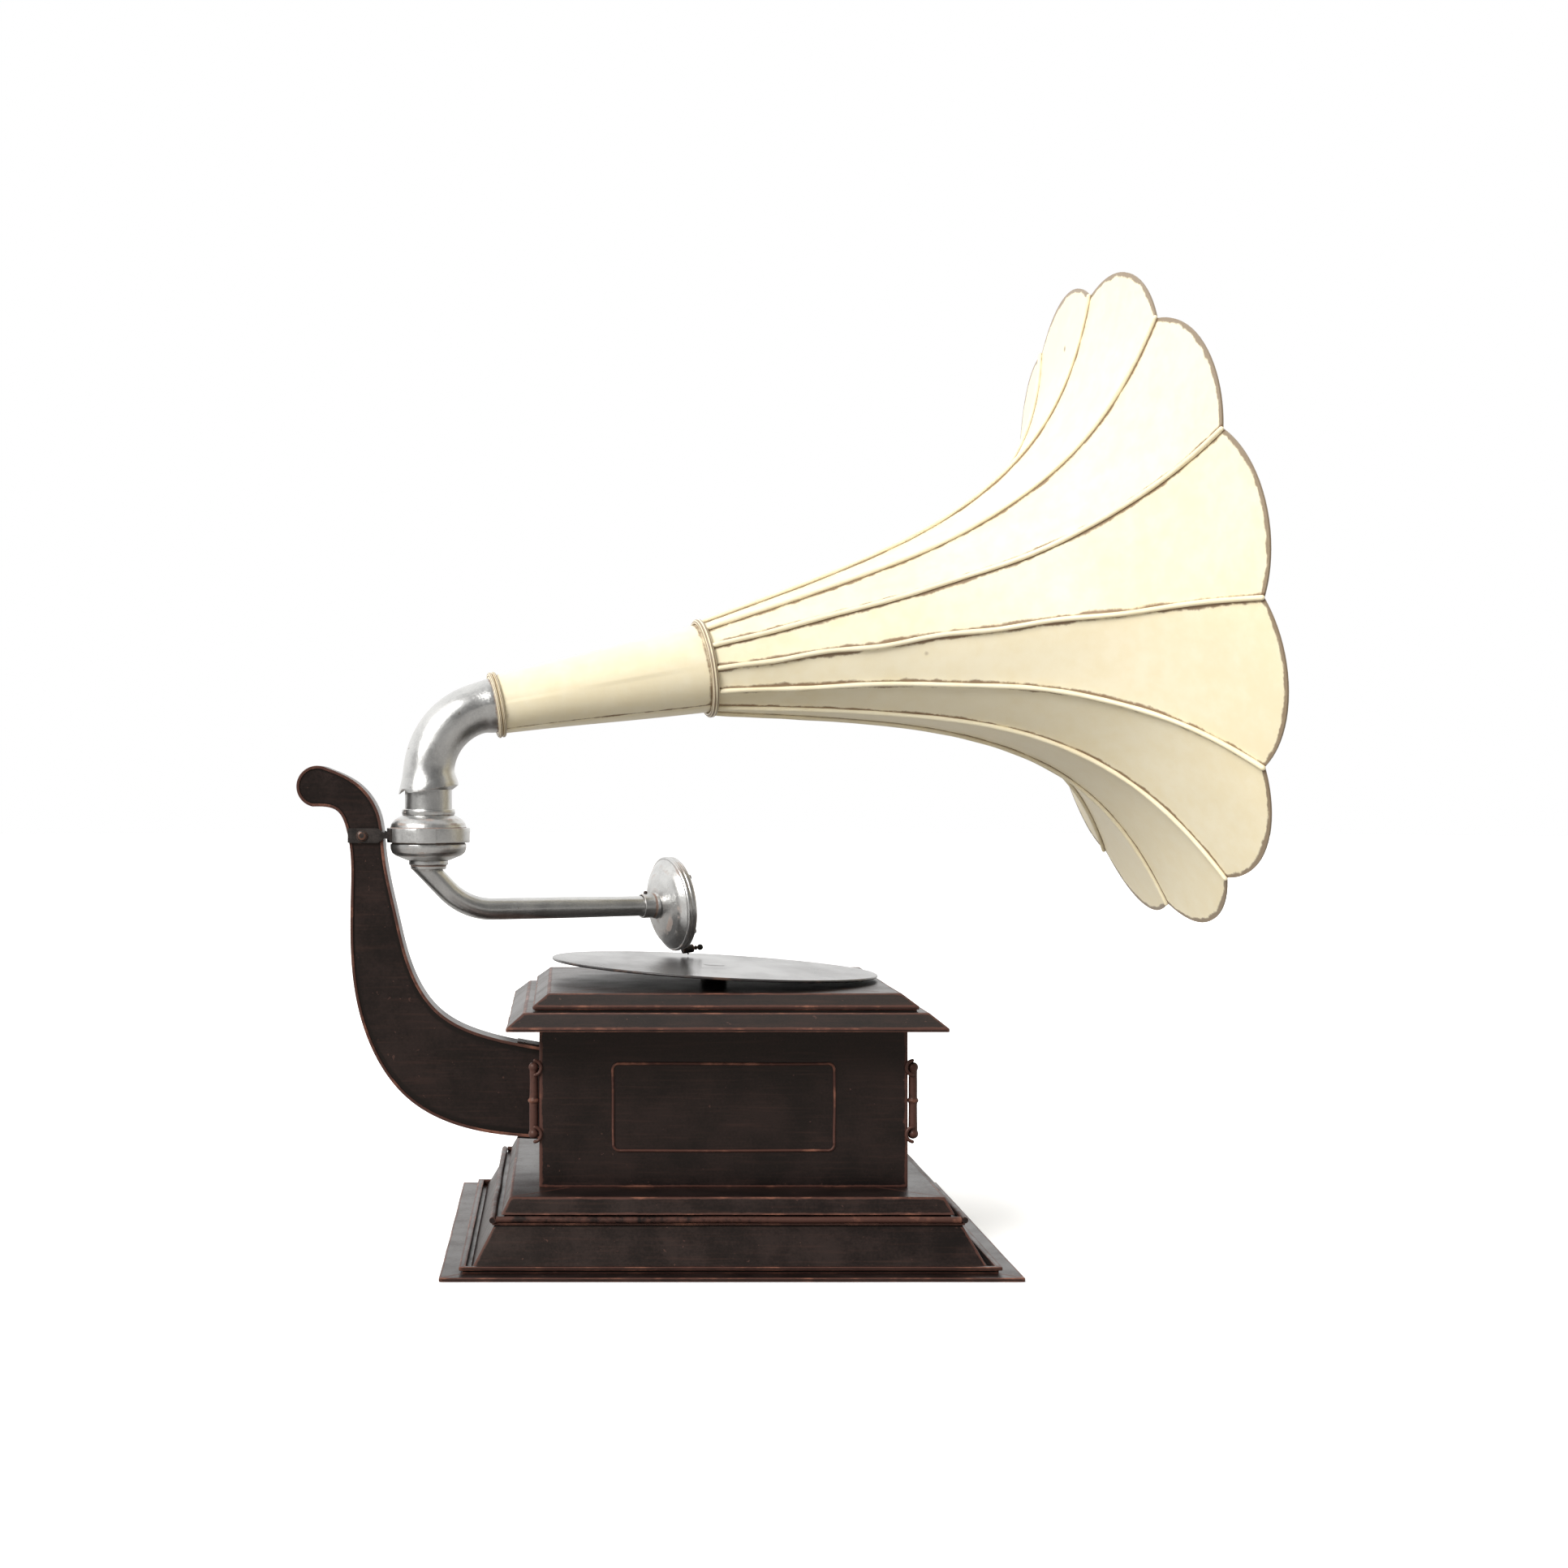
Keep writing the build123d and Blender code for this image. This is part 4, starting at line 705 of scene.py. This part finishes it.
def handles():
    """Upright bars with ball ends and a swelling, on round feet, with split wire eyes at their ends.

    A bar's radius at height z is the largest of the bar's, the two balls' and the swelling's.
    """
    low, high = HANDLE_ENDS
    z = np.linspace(low - 1.7, high + 1.7, 90)
    bar = np.where((z > low) & (z < high), 1.4, 0.0)
    balls = [np.sqrt(np.clip(1.7**2 - (z - centre) ** 2, 0, None)) for centre in HANDLE_ENDS]
    swell = 1.7 * hump(z - (low + high) / 2, 1.5) + 0.15
    radius = np.maximum(np.max([bar, *balls, swell * (bar > 0)], axis=0), 0.04)
    q = full_turn(28)
    for side, label in ((-1, "left"), (1, "right")):
        uneven = 1 + waves(z, 21 + side, 5.0, 0.05)
        round_bar = (radius * uneven)[:, None, None] * places(np.cos(q), np.sin(q), 0)
        grid = round_bar + places(side * HANDLE_X, HANDLE_Y, z)[:, None]
        copper = np.clip((radius - 1.15) / 0.6, 0, 1)[:, None] * 0.5 + 0.45
        foot = side * np.array([BOX_HALF_X - 0.3, 61.0])
        foot_lines = [places(foot, HANDLE_Y - 0.1, height) for height in HANDLE_ENDS]
        feet = [tube(line, 0.8, around=16, round_ends=False) for line in foot_lines]
        piece(f"{label}_pull", [skin(grid, wear=copper), *feet], lacquer, "cabinet", f"{label}_handle")
    eyes = []
    turn = np.radians(np.linspace(-80, 80, 24))
    for side in (-1, 1):
        for height in HANDLE_ENDS:
            arc = places(side * (HANDLE_X - 2.4 * np.cos(turn)), -50.43, height + 2.4 * np.sin(turn))
            eyes.append(tube(arc, 0.56, flat_normal=(0, 1, 0), around=12, wear=0.75))
    piece("pull_eyes", eyes, lacquer, "cabinet", "handle_eyes")


def lid():
    """Two stepped mouldings with a dark gap between them."""
    lower = [
        (0, BOX_TOP), (70.2, BOX_TOP), (70.2, 75.9), (64.6, 80.4), (61.2, 80.4), (61.2, LID_SEAM_Z),
        (0, LID_SEAM_Z),
    ]
    moulding("lower_lid_moulding", lower, "lid_lower_moulding", seed=6, unevenness=0.16)
    upper = [(0, LID_SEAM_Z), (61.8, LID_SEAM_Z), (61.8, 82.2), (56.8, LID_TOP), (0, LID_TOP)]
    moulding("upper_lid_moulding", upper, "lid_upper_moulding", seed=7, unevenness=0.14)


def record_disc():
    """The plain disc on its leaning pivot."""
    lean = np.array([np.sin(DISC_LEAN), 0.0, np.cos(DISC_LEAN)])
    profile = [
        (3.68, 0.45), (55.7, 0.45), (56.0, 0.2), (56.0, -0.2), (55.7, -0.45), (1.98, -0.45), (1.98, -0.35)
    ]
    turned(
        "plain_disc", DISC_CENTRE, lean, profile, record_gloss, "turntable", "turntable_disc", ease=0.1,
        around=160,
    )


# ---- support arm
ARM_BACK = [
    (-59.8, 32.2), (-83.2, 35.1), (-104.6, 45.1), (-118.7, 65.3), (-124.4, 90.0), (-124.8, 116.4),
    (-126.1, 137.0), (-129.6, 144.2), (-137.9, 145.6),
]
ARM_FRONT = [
    (-59.8, 63.2), (-78.5, 67.2), (-94.6, 75.3), (-103.9, 89.4), (-109.3, 109.2), (-113.5, 131.0),
    (-115.2, 143.0), (-122.6, 153.6), (-134.0, 159.2),
]


def arm_outline(inset, samples=150):
    """The arm's two long edges as matched points, moved in by inset, then joined round the hook."""
    back, front = (smooth_line(corners, samples) for corners in (ARM_BACK, ARM_FRONT))
    centre = (back[-1] + front[-1]) / 2
    start = back[-1] - centre
    radius = np.linalg.norm(start)
    first = np.arctan2(start[1], start[0])
    turn = first - np.linspace(0, np.pi, 42)[1:-1]
    reach = radius * (1 + 0.06 * np.sin(np.linspace(0, np.pi, 42)[1:-1]))
    hook = centre + reach[:, None] * places(np.cos(turn), np.sin(turn))
    outline = np.vstack([back, hook, front[::-1]])
    way = unit(np.gradient(outline, axis=0))
    inward = places(way[:, 1], -way[:, 0])
    inward[0], inward[-1] = (0.0, 1.0), (0.0, -1.0)
    return outline + inward * inset


def support_arm():
    """A flat hollow bracket: an edge strip round the outline, and a plate set in on each face."""
    half = ARM_HALF_THICK
    section, wear, grime = eased([(0, -half), (1.0, -half), (1.0, half), (0, half)], 0.22, reach=0.7)
    grids = np.stack([arm_outline(inset) for inset in section[:, 0]])
    strip = places(grids[..., 0], section[:, 1, None], grids[..., 1])
    facing = np.where(np.abs(section[:, 1]) > half - 0.3, 0.85, 0.0)
    edge_skin = skin(np.transpose(strip, (1, 0, 2)), wear=np.maximum(wear, facing)[None], grime=grime[None])
    piece("arm_rim", [edge_skin], lacquer, "cabinet", "arm_edge_strip")
    outline = arm_outline(1.0)
    count = len(outline) // 2
    back, front = outline[:count], outline[::-1][:count]
    across = np.linspace(0, 1, 9)
    groove = np.where((across == 0) | (across == 1), 0.9, 0.0)
    flat = back[:, None] * (1 - across[None, :, None]) + front[:, None] * across[None, :, None]
    for label, face in (("front", -1), ("back", 1)):
        outer = places(flat[..., 0], face * (half - 0.5), flat[..., 1])
        inner = outer - 0.8 * face * TO_BACK
        loops = np.concatenate([outer, inner[:, ::-1]], 1)
        web = skin(loops, grime=np.r_[groove, groove][None], sheet_ends=True)
        piece(f"arm_{label}_web", [web], lacquer, "cabinet", f"arm_{label}_plate")


def strap():
    """The union's band with its two ears, which narrow towards the arm."""
    band = [
        (12.5, BAND_BOTTOM), (BAND_RADIUS, BAND_BOTTOM), (BAND_RADIUS, BAND_TOP), (13.5, BAND_TOP),
        (13.5, 134.0), (12.5, 134.0),
    ]
    turned("union_band", union_foot, UP, band, silver, "cabinet")
    ears = []
    x = np.linspace(-125.8, -110.4, 30)
    share = np.clip((x + 115.6) / 5.2, 0, 1)
    half_height = 2.5 - 1.5 * np.sin(share * np.pi) ** 1.5
    for side in (-1, 1):
        corners = np.array([(0.0, -1.0), (0.8, -1.0), (0.8, 1.0), (0.0, 1.0)])
        y = side * (ARM_HALF_THICK + corners[:, 0])
        z = (BAND_BOTTOM + BAND_TOP) / 2 + half_height[:, None] * corners[:, 1]
        grid = places(x[:, None], y, z)
        ears.append(skin(grid, wear=0.35))
    piece("strap_ears", ears, blackened, "cabinet", "strap_clamp")
    screw = [(0, 8.8), (1.14, 8.8), (1.9, 8.3), (1.9, 7.8), (1.2, 7.8), (1.2, -10.0), (0, -10.0)]
    turned(
        "ear_screw", np.array([-120.9, 0.0, 135.6]), -TO_BACK, screw, blackened, "cabinet", "strap_screw",
        ease=0.3, around=36,
    )


# ---- union and elbow
def union():
    """Two spun cups, a ring and a neck above, a collar below."""
    upper = [
        (13.5, 136.0), (13.5, BAND_TOP), (13.1, BAND_TOP), (12.8, 139.6), (11.5, 141.2),
        (9.0, CUP_CROWN_Z), (8.1, CUP_CROWN_Z), (8.1, 141.6), (10.9, 140.4), (12.0, 139.2), (12.2, 136.0),
    ]
    turned("upper_cup", union_foot, UP, upper, silver, "cabinet", "union_upper_cup", ease=0.5)
    ring = [(8.1, CUP_CROWN_Z), (9.0, CUP_CROWN_Z), (9.2, 143.65), (9.0, 144.7), (8.1, 144.7)]
    turned("top_ring", union_foot, UP, ring, silver, "cabinet", "union_top_ring", ease=0.3)
    neck = [(7.3, 141.6), (8.1, 141.6), (8.1, NECK_TOP), (7.3, NECK_TOP)]
    turned("neck_pipe", union_foot, UP, neck, silver, "cabinet", "neck_tube")
    lower = [
        (13.42, 134.05), (13.42, 135.05), (11.62, 135.05), (11.62, 131.6), (10.4, 129.3), (6.0, 127.9),
        (6.0, CUP_FOOT_Z), (7.2, CUP_FOOT_Z), (11.4, 128.7), (12.6, 129.7), (13.1, 131.2), (13.1, 132.6),
        (12.42, 133.1), (12.42, 134.05),
    ]
    turned("lower_cup", union_foot, UP, lower, silver, "tonearm", "union_lower_cup", ease=0.5)
    collar = [
        (0, COLLAR_Z), (6.1, COLLAR_Z), (6.2, 125.3), (6.8, 125.6), (6.8, CUP_FOOT_Z), (6.0, CUP_FOOT_Z),
        (6.0, 124.8), (0, 124.8),
    ]
    turned("lower_collar", union_foot, UP, collar, silver, "tonearm", "union_lower_collar")


def elbow():
    """A cast-looking bend: a tube up, round a bend and out, with a ragged, belled lower lip.

    Its centre line is (-r cos q, r sin q) round the bend's centre, q from 0 to 90 - rise degrees.
    """
    q = np.linspace(0, np.pi / 2 - THROAT_RISE, 60)
    bend = places(UNION_X + ELBOW_BEND * (1 - np.cos(q)), 0, NECK_TOP + ELBOW_BEND * np.sin(q))
    rise = places(UNION_X, 0, np.linspace(NECK_TOP - 5.0, NECK_TOP - 0.4, 14))
    tail = bend[-1] + np.linspace(0.3, 2.7, 6)[:, None] * throat_way
    path = np.vstack([rise, bend, tail])
    at = np.r_[0, np.cumsum(np.linalg.norm(np.diff(path, axis=0), axis=1))]
    lip = hump(at, 4.2) * 1.5
    belled = hump(at[-1] - at, 3.5) * 0.75
    around = full_turn(80)
    outer = 8.72 + lip + belled
    way = unit(np.gradient(path, axis=0))
    side = np.broadcast_to([0.0, -1.0, 0.0], way.shape)
    up = np.cross(side, way)
    ring = np.cos(around)[None, :, None] * side[:, None] + np.sin(around)[None, :, None] * up[:, None]
    uneven = waves(around[None] * 8 + at[:, None], 31, 9.0, 0.12)
    ragged = hump(at, 1.5)[:, None] * np.clip(waves(around * 10, 33, 3.0, 1.1), 0, None)[None]
    slanted = hump(at, 5.0)[:, None] * 1.6 * ring[..., 0]
    skin_out = path[:, None] + (outer[:, None] + uneven)[..., None] * ring
    skin_out = skin_out + (ragged + slanted)[..., None] * UP
    bore = np.where(at < 5.0, 8.3, 7.6)
    skin_in = path[:, None] + bore[:, None, None] * ring
    grid = np.concatenate([skin_out, skin_in[::-1]])
    joint = hump(at, 1.0) * 0.6 + hump(at[-1] - at, 1.2) * 0.8
    casting = skin(grid, grime=np.r_[joint, joint[::-1]][:, None], wrap_rows=True)
    piece("cast_elbow", swivelled([casting]), silver, "horn", "elbow_tube")


# ---- horn
def bell_radius(depth):
    """15.5 + 0.2 d + 40 s^4 + 23 s^12, s the share of the depth: a cone, a soft and a sharp flare."""
    share = depth / BELL_DEPTH
    return 15.5 + 0.2 * depth + 40 * share**4 + 23 * share**12


def bell_slope(depth):
    """The bell radius's rate of growth with depth."""
    share = depth / BELL_DEPTH
    return 0.2 + (160 * share**3 + 276 * share**11) / BELL_DEPTH


def bell_out(angle):
    """The way out from the bell's axis, at an angle counted from the front downwards."""
    below = np.cross(bell_way, -TO_BACK)
    turn = angle + PETAL_PHASE
    return np.sin(turn)[..., None] * below - np.cos(turn)[..., None] * TO_BACK


def bell_point(depth, angle, lift):
    """A point of the bell at this depth and angle, lifted along the meridian's own normal."""
    slope = bell_slope(depth)
    length = np.sqrt(1 + slope**2)
    along = depth - lift * slope / length
    out = bell_radius(depth) + lift / length
    return mid_centre + along[..., None] * bell_way + out[..., None] * bell_out(angle)


def petals():
    """Twelve petals, each a sheet between two ribs that ends in a round lobe.

    At angle a from its middle the lobe's edge is at radius c cos a + sqrt(L^2 - c^2 sin^2 a), with L
    the lobe's radius and c = tip - L. Across, the sheet is drawn part of the way to its chord,
    radius x cos 15 / cos a, which fades out at the mouth.
    """
    half = np.pi / PETALS
    chord = RIB_END_RADIUS * np.sin(half)
    rise = TIP_RADIUS - RIB_END_RADIUS * np.cos(half)
    lobe = (chord**2 + rise**2) / (2 * rise)
    centre = TIP_RADIUS - lobe
    a = half * np.sin(np.linspace(-1, 1, 31) * np.pi / 2)
    edge = centre * np.cos(a) + np.sqrt(lobe**2 - (centre * np.sin(a)) ** 2)
    table = np.linspace(100, 166, 700)
    mouth = np.interp(edge, bell_radius(table), table)
    s = np.sin(np.linspace(0, 1, 72) * np.pi / 2) ** 0.9
    s = s / s[-1]
    depth = s[:, None] * mouth[None]
    across = np.broadcast_to(a, depth.shape)
    fade = 1 - np.clip((s - 0.72) / 0.28, 0, 1) ** 2
    draw = (1 - np.cos(half) / np.cos(across)) * bell_radius(depth) * fade[:, None] * 0.75
    belly = np.cos(across / half * np.pi / 2)
    skins = []
    for k in range(PETALS):
        middle = (2 * k + 1) * half
        ripple = (waves(s * 20 + k * 3, 41 + k, 6.0, 0.35) * s * (1 - s**4))[:, None] * belly
        lift = ripple - np.abs(ripple) - draw
        outer = bell_point(depth, middle + across, lift)
        inner = bell_point(depth, middle + across, lift - SHEET)
        to_rib = bell_radius(depth) * (half - np.abs(across))
        to_rim = (1 - s[:, None]) * mouth * 1.35
        grime = hump(to_rib, 2.3)
        rim = hump(to_rim, 0.9)
        grid = np.concatenate([outer, inner[:, ::-1]], 1)
        grime = np.concatenate([grime, grime[:, ::-1] * 0.7], 1)
        rim = np.concatenate([rim, rim[:, ::-1]], 1)
        skins.append(skin(grid, wear=rim, grime=grime, sheet_ends=True))
    names = [f"horn_petal_{k + 1:02d}" for k in range(PETALS)]
    piece("petals", swivelled(skins), enamel, "horn", *names, sharp=50)


def ribs():
    """Soldered wires down the twelve joints, a little wavy."""
    depth = 1.9 + (BELL_DEPTH - 1.9) * np.sin(np.linspace(0, 1, 120) * np.pi / 2)
    skins = []
    for k in range(PETALS):
        sway = waves(depth, 61 + k, 14.0, 0.35) * np.clip(depth / 20, 0, 1)
        angle = 2 * np.pi * k / PETALS + sway / bell_radius(depth)
        thick = 0.86 + waves(depth, 81 + k, 4.0, 0.07)
        path = bell_point(depth, angle, np.full_like(depth, 0.42))
        normal = bell_out(np.array(2 * np.pi * k / PETALS + np.pi / 2))
        skins.append(tube(path, thick, flat_normal=normal, around=14))
    piece("rib_wires", swivelled(skins), enamel, "horn", "horn_ribs")


def throat():
    """The throat cone with one lapped seam, its double collar bead, and the ring where the bell starts."""
    q = full_turn(120)
    below = np.cross(throat_way, -TO_BACK)
    seam = np.radians(58)
    past = np.mod(q - seam, 2 * np.pi)
    lap = 0.38 * np.exp(-past / 0.22)
    lap_grime = hump(np.mod(q - seam + np.pi, 2 * np.pi) - np.pi + 0.03, 0.035)
    along = np.r_[0.02, 0.5, np.linspace(2, 74.2, 40), 75.3]
    radius = 10.0 + 5.5 * along / THROAT_LENGTH
    uneven = waves(q[None] * 6 + along[:, None] * 0.4, 51, 9.0, 0.15)
    ring = np.sin(q)[:, None] * below - np.cos(q)[:, None] * TO_BACK
    axis = collar_centre + along[:, None, None] * throat_way
    outer = axis + (radius[:, None] + lap[None] + uneven)[..., None] * ring
    inner = axis + (radius[:, None] - SHEET - 0.15)[..., None] * ring
    grid = np.concatenate([outer, inner[::-1]])
    ends = hump(along - 2.6, 1.4) + hump(along - 74.5, 1.4)
    grime = np.maximum(ends[:, None] * 0.8, lap_grime[None] * 0.9)
    grime = np.concatenate([grime, 0 * grime])
    cone = skin(grid, grime=grime, wrap_rows=True)
    piece("throat_cone", swivelled([cone]), enamel, "horn", "horn_throat_cone")
    collar = [
        (10.1, 0), (11.0, 0), (11.5, 0.4), (11.5, 0.9), (10.9, 1.3), (11.5, 1.7), (11.5, 2.2), (11.0, 2.6),
        (10.2, 2.6),
    ]
    beads = rolled(collar_centre, throat_way, collar, ease=0.3, around=96)
    piece("collar_beads", swivelled([beads]), enamel, "horn", "horn_collar_ring")
    ring_line = [(15.77, -1.25), (16.7, -1.25), (17.4, -0.65), (17.4, 0.65), (16.7, 1.25), (15.77, 1.25)]
    middle = rolled(mid_centre, bell_way, ring_line, ease=0.3, around=96)
    piece("middle_ring", swivelled([middle]), enamel, "horn", "horn_mid_ring")


# ---- tone arm and soundbox
BOX_TILT = np.radians(6)
box_way = arm_way * np.cos(BOX_TILT) + UP * np.sin(BOX_TILT)
box_up = np.cross(box_way, arm_side)
box_centre = union_foot + UP * TONEARM_Z + arm_way * 86.2
RIM_END = 6.2
FRONT_END = 8.4
CHUCK_DROP = -17.0


def on_box(across, up, out):
    """A point on the soundbox, by its own directions."""
    return box_centre + across * arm_side + up * box_up + out * box_way


def tone_tube():
    """The thin tube: down a 45 degree slant, round its bend, and level to the soundbox.

    Its top ring is slid along the slant onto the flat underside of the collar.
    """
    drop = np.pi / 4
    low = TONEARM_BEND * (1 - np.cos(drop))
    start = np.array([COLLAR_Z - TONEARM_Z - low - 0.5, TONEARM_Z + low])
    slant = start + np.linspace(COLLAR_Z - start[1], 0.3, 12)[:, None] * np.array([-1.0, 1.0])
    q = np.linspace(drop, 0, 28)[:, None]
    bend = start + TONEARM_BEND * (
        np.array([np.sin(drop), np.cos(drop)]) - np.hstack([np.sin(q), np.cos(q)])
    )
    level = places(np.linspace(bend[-1, 0] + 0.8, 85.0, 46), TONEARM_Z)
    flat = np.vstack([slant, bend, level])
    path = union_foot + flat[:, :1] * arm_way + flat[:, 1:] * UP
    taper = np.clip((flat[:, 0] - bend[-1, 0]) / (85 - bend[-1, 0]), 0, 1)
    radius = 3.85 - 0.25 * taper + waves(flat[:, 0], 71, 9.0, 0.05)
    joint = 0.6 * hump(COLLAR_Z - flat[:, 1], 1.0)[:, None]
    points, *rest = tube(path, radius, flat_normal=arm_side, around=40, grime=joint, round_ends=False)
    down = (arm_way - UP) / np.sqrt(2)
    first = np.r_[np.arange(40), 40 * len(path)]
    points[first] += ((COLLAR_Z + 0.1 - points[first, 2]) / down[2])[:, None] * down
    piece("tone_pipe", [(points, *rest)], silver, "tonearm", "tonearm_tube")


def soundbox():
    """Saucer, rim, diaphragm, front ring with four screws, needle bar with its chuck and ball screw."""
    sleeve = [(3.82, 80.2), (4.3, 80.2), (4.4, 81.0), (4.3, 84.6), (4.9, 86.0), (3.82, 86.0)]
    tube_foot = union_foot + UP * TONEARM_Z
    turned("sleeve", tube_foot, arm_way, sleeve, silver, "soundbox", "soundbox_sleeve", around=56)
    dish = [
        (2.6, 0), (5.5, 0), (10.2, 0.9), (13.9, 2.4), (16.2, 4.6), (15.4, 4.6), (13.3, 3.2), (9.9, 1.7),
        (5.5, 0.8), (2.6, 0.8),
    ]
    turned("saucer", box_centre, box_way, dish, silver, "soundbox", "soundbox_dish", ease=1.6, steps=5)
    rim = [
        (14.2, 4.6), (16.6, 4.6), (17.0, 5.1), (17.0, 5.9), (16.7, 6.2), (15.2, 6.2), (15.2, 5.8),
        (14.2, 5.8),
    ]
    turned("saucer_rim", box_centre, box_way, rim, silver, "soundbox", "soundbox_rim_ring")
    disc = [(0, 5.8), (15.2, 5.8), (15.2, 6.2), (14.0, 6.2), (10.0, 6.5), (8.6, 6.2), (4.0, 6.4), (0, 6.7)]
    turned("foil", box_centre, box_way, disc, foil, "soundbox", "diaphragm")
    front = [(13.0, 6.2), (16.5, 6.2), (16.8, 6.7), (16.8, 7.8), (16.1, 8.4), (13.0, 8.4)]
    turned("front_ring", box_centre, box_way, front, silver, "soundbox", "soundbox_front_ring")
    head = [(0, -0.1), (1.1, -0.1), (1.1, 0.45), (0.7, 0.8), (0, 0.8)]
    screws = []
    for angle in np.radians((50, 140, 220, 320)):
        spot = on_box(14.8 * np.cos(angle), 14.8 * np.sin(angle), FRONT_END)
        screws.append(rolled(spot, box_way, head, ease=0.15, around=24))
    piece("ring_screws", screws, blackened, "soundbox", "soundbox_screws")
    bar_path = [on_box(0, up, 9.2) for up in np.linspace(0.6, CHUCK_DROP - 0.2, 24)]
    width = 0.62 + 0.25 * np.abs(np.linspace(-1, 1, 24)) ** 2
    boss_line = [(0, RIM_END), (1.2, RIM_END), (1.2, 8.6), (1.2, 9.7), (0, 9.7)]
    boss = rolled(box_centre, box_way, boss_line, around=28)
    chuck_line = [(0, FRONT_END), (1.5, FRONT_END), (1.5, 12.6), (0, 12.6)]
    chuck = rolled(on_box(0, CHUCK_DROP, 0), box_way, chuck_line, around=32)
    bar = tube(bar_path, width, flat_normal=arm_side, around=16)
    piece("stylus_bar", [bar, boss, chuck], blackened, "soundbox", "needle_bar")
    ball_foot = on_box(0, CHUCK_DROP, 12.65)
    q = np.linspace(0.12, np.pi - 0.05, 14)
    ball_line = [(0, 0), (0.5, 0), (0.5, 0.8), (0.8, 0.8), (0.8, 1.3), (0.5, 1.3), (0.5, 1.85)]
    neck = rolled(ball_foot, box_way, [*ball_line, (0, 1.9)], ease=0.08, around=24)
    turn = full_turn(24)[:, None]
    ring = np.cos(turn) * arm_side + np.sin(turn) * box_up
    ball_rows = 1.1 * (np.sin(q)[:, None, None] * ring - np.cos(q)[:, None, None] * box_way)
    ball = skin(ball_foot + 2.8 * box_way + ball_rows)
    piece("ball_screw", [neck, ball], blackened, "thumbscrew", "needle_thumbscrew")
    screw_foot = tube_foot + arm_way * 81.8 + UP * 4.4
    pin = [(0, -0.3), (0.7, -0.3), (0.7, 0.6), (0.4, 0.95), (0, 0.98)]
    turned("sleeve_pin", screw_foot, UP, pin, blackened, "soundbox", "sleeve_screw", ease=0.12, around=24)


plinth()
cabinet()
handles()
lid()
record_disc()
support_arm()
strap()
union()
elbow()
petals()
ribs()
throat()
tone_tube()
soundbox()

# The CAD pieces that stay as they are take these finishes, each listed with a flag for a named slot.
for node, (material, slot), named in (
    ("arm_root_tabs", lacquer, True),
    ("pivot_spacer", blackened, False),
    ("pivot_screw", record_gloss, False),
    ("hex_nuts", blackened, True),
    ("band_overlap_plate", silver, True),
    ("disc_hub", record_gloss, False),
    ("needle", steel, True),
):
    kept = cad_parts[node]
    kept.data.materials.clear()
    kept.data.materials.append(material)


# ---- floor, light and camera
def pale_floor():
    """A round pale floor, far wider than the view."""
    turn = full_turn(96)
    reach = np.array([0.5, 2.0, 7.0])[:, None, None]
    grid = reach * places(np.cos(turn), np.sin(turn), 0)
    faces = grid_quads(3, 96, False, True)
    fan = places(grid[..., 0].size, np.arange(96), (np.arange(96) + 1) % 96)
    mesh = bpy.data.meshes.new("pale_floor")
    mesh.from_pydata(
        np.vstack([grid.reshape(-1, 3), [(0, 0, 0)]]).tolist(), [], faces.tolist() + fan.tolist()
    )
    paint = bpy.data.materials.new("studio_white")
    paint.use_nodes = True
    shader = paint.node_tree.nodes["Principled BSDF"]
    shader.inputs["Roughness"].default_value = 0.9
    shader.inputs["Specular IOR Level"].default_value = 0.1
    tree = paint.node_tree
    seen = add_node(tree, "ShaderNodeLightPath").outputs["Is Camera Ray"]
    tone = blended(tree, seen, (0.42, 0.41, 0.4, 1), (0.95, 0.95, 0.945, 1))
    tree.links.new(tone, shader.inputs["Base Color"])
    shader.inputs["Emission Color"].default_value = (1, 1, 1, 1)
    tree.links.new(times(tree, seen, 0.3), shader.inputs["Emission Strength"])
    mesh.materials.append(paint)
    floor = linked("pale_floor", mesh)
    floor.location.z = -0.0002


def studio_light():
    """White surroundings, dim only behind the viewer, and one soft light from the front left."""
    world = bpy.data.worlds.new("white_studio")
    world.use_nodes = True
    tree = world.node_tree
    tree.nodes.clear()
    way = add_node(tree, "ShaderNodeTexCoord").outputs["Generated"]
    split = add_node(tree, "ShaderNodeSeparateXYZ", {0: way}).outputs
    level = ramped(tree, split[1], -0.5, 0.25, 0.2, 1.35)
    seen = add_node(tree, "ShaderNodeLightPath").outputs["Is Camera Ray"]
    around = add_node(tree, "ShaderNodeBackground", {"Color": (1.0, 0.995, 0.985, 1), "Strength": level})
    behind = add_node(tree, "ShaderNodeBackground", {"Color": (1, 1, 1, 1), "Strength": 1.0})
    mixed = add_node(tree, "ShaderNodeMixShader", {0: seen, 1: around.outputs[0], 2: behind.outputs[0]})
    out = add_node(tree, "ShaderNodeOutputWorld")
    tree.links.new(mixed.outputs[0], out.inputs["Surface"])
    bpy.context.scene.world = world
    lamp = bpy.data.lights.new("overhead_softbox", "SUN")
    lamp.energy = 3.6
    lamp.angle = np.radians(32)
    lamp.color = (1.0, 0.99, 0.97)
    linked("overhead_softbox", lamp).rotation_euler = (np.radians(56), 0, np.radians(-42))


def camera():
    """Level with the union, square to the front."""
    lens = bpy.data.cameras.new("view")
    lens.lens = 55.62
    lens.sensor_width = 36
    lens.shift_x = 0.1382
    lens.shift_y = 0.001
    holder = linked("view", lens)
    holder.location = (-0.0507, -0.8358, 0.1528)
    holder.rotation_euler = (np.pi / 2, 0, 0)
    bpy.context.scene.camera = holder


pale_floor()
studio_light()
camera()
bpy.context.scene.view_settings.view_transform = "Standard"
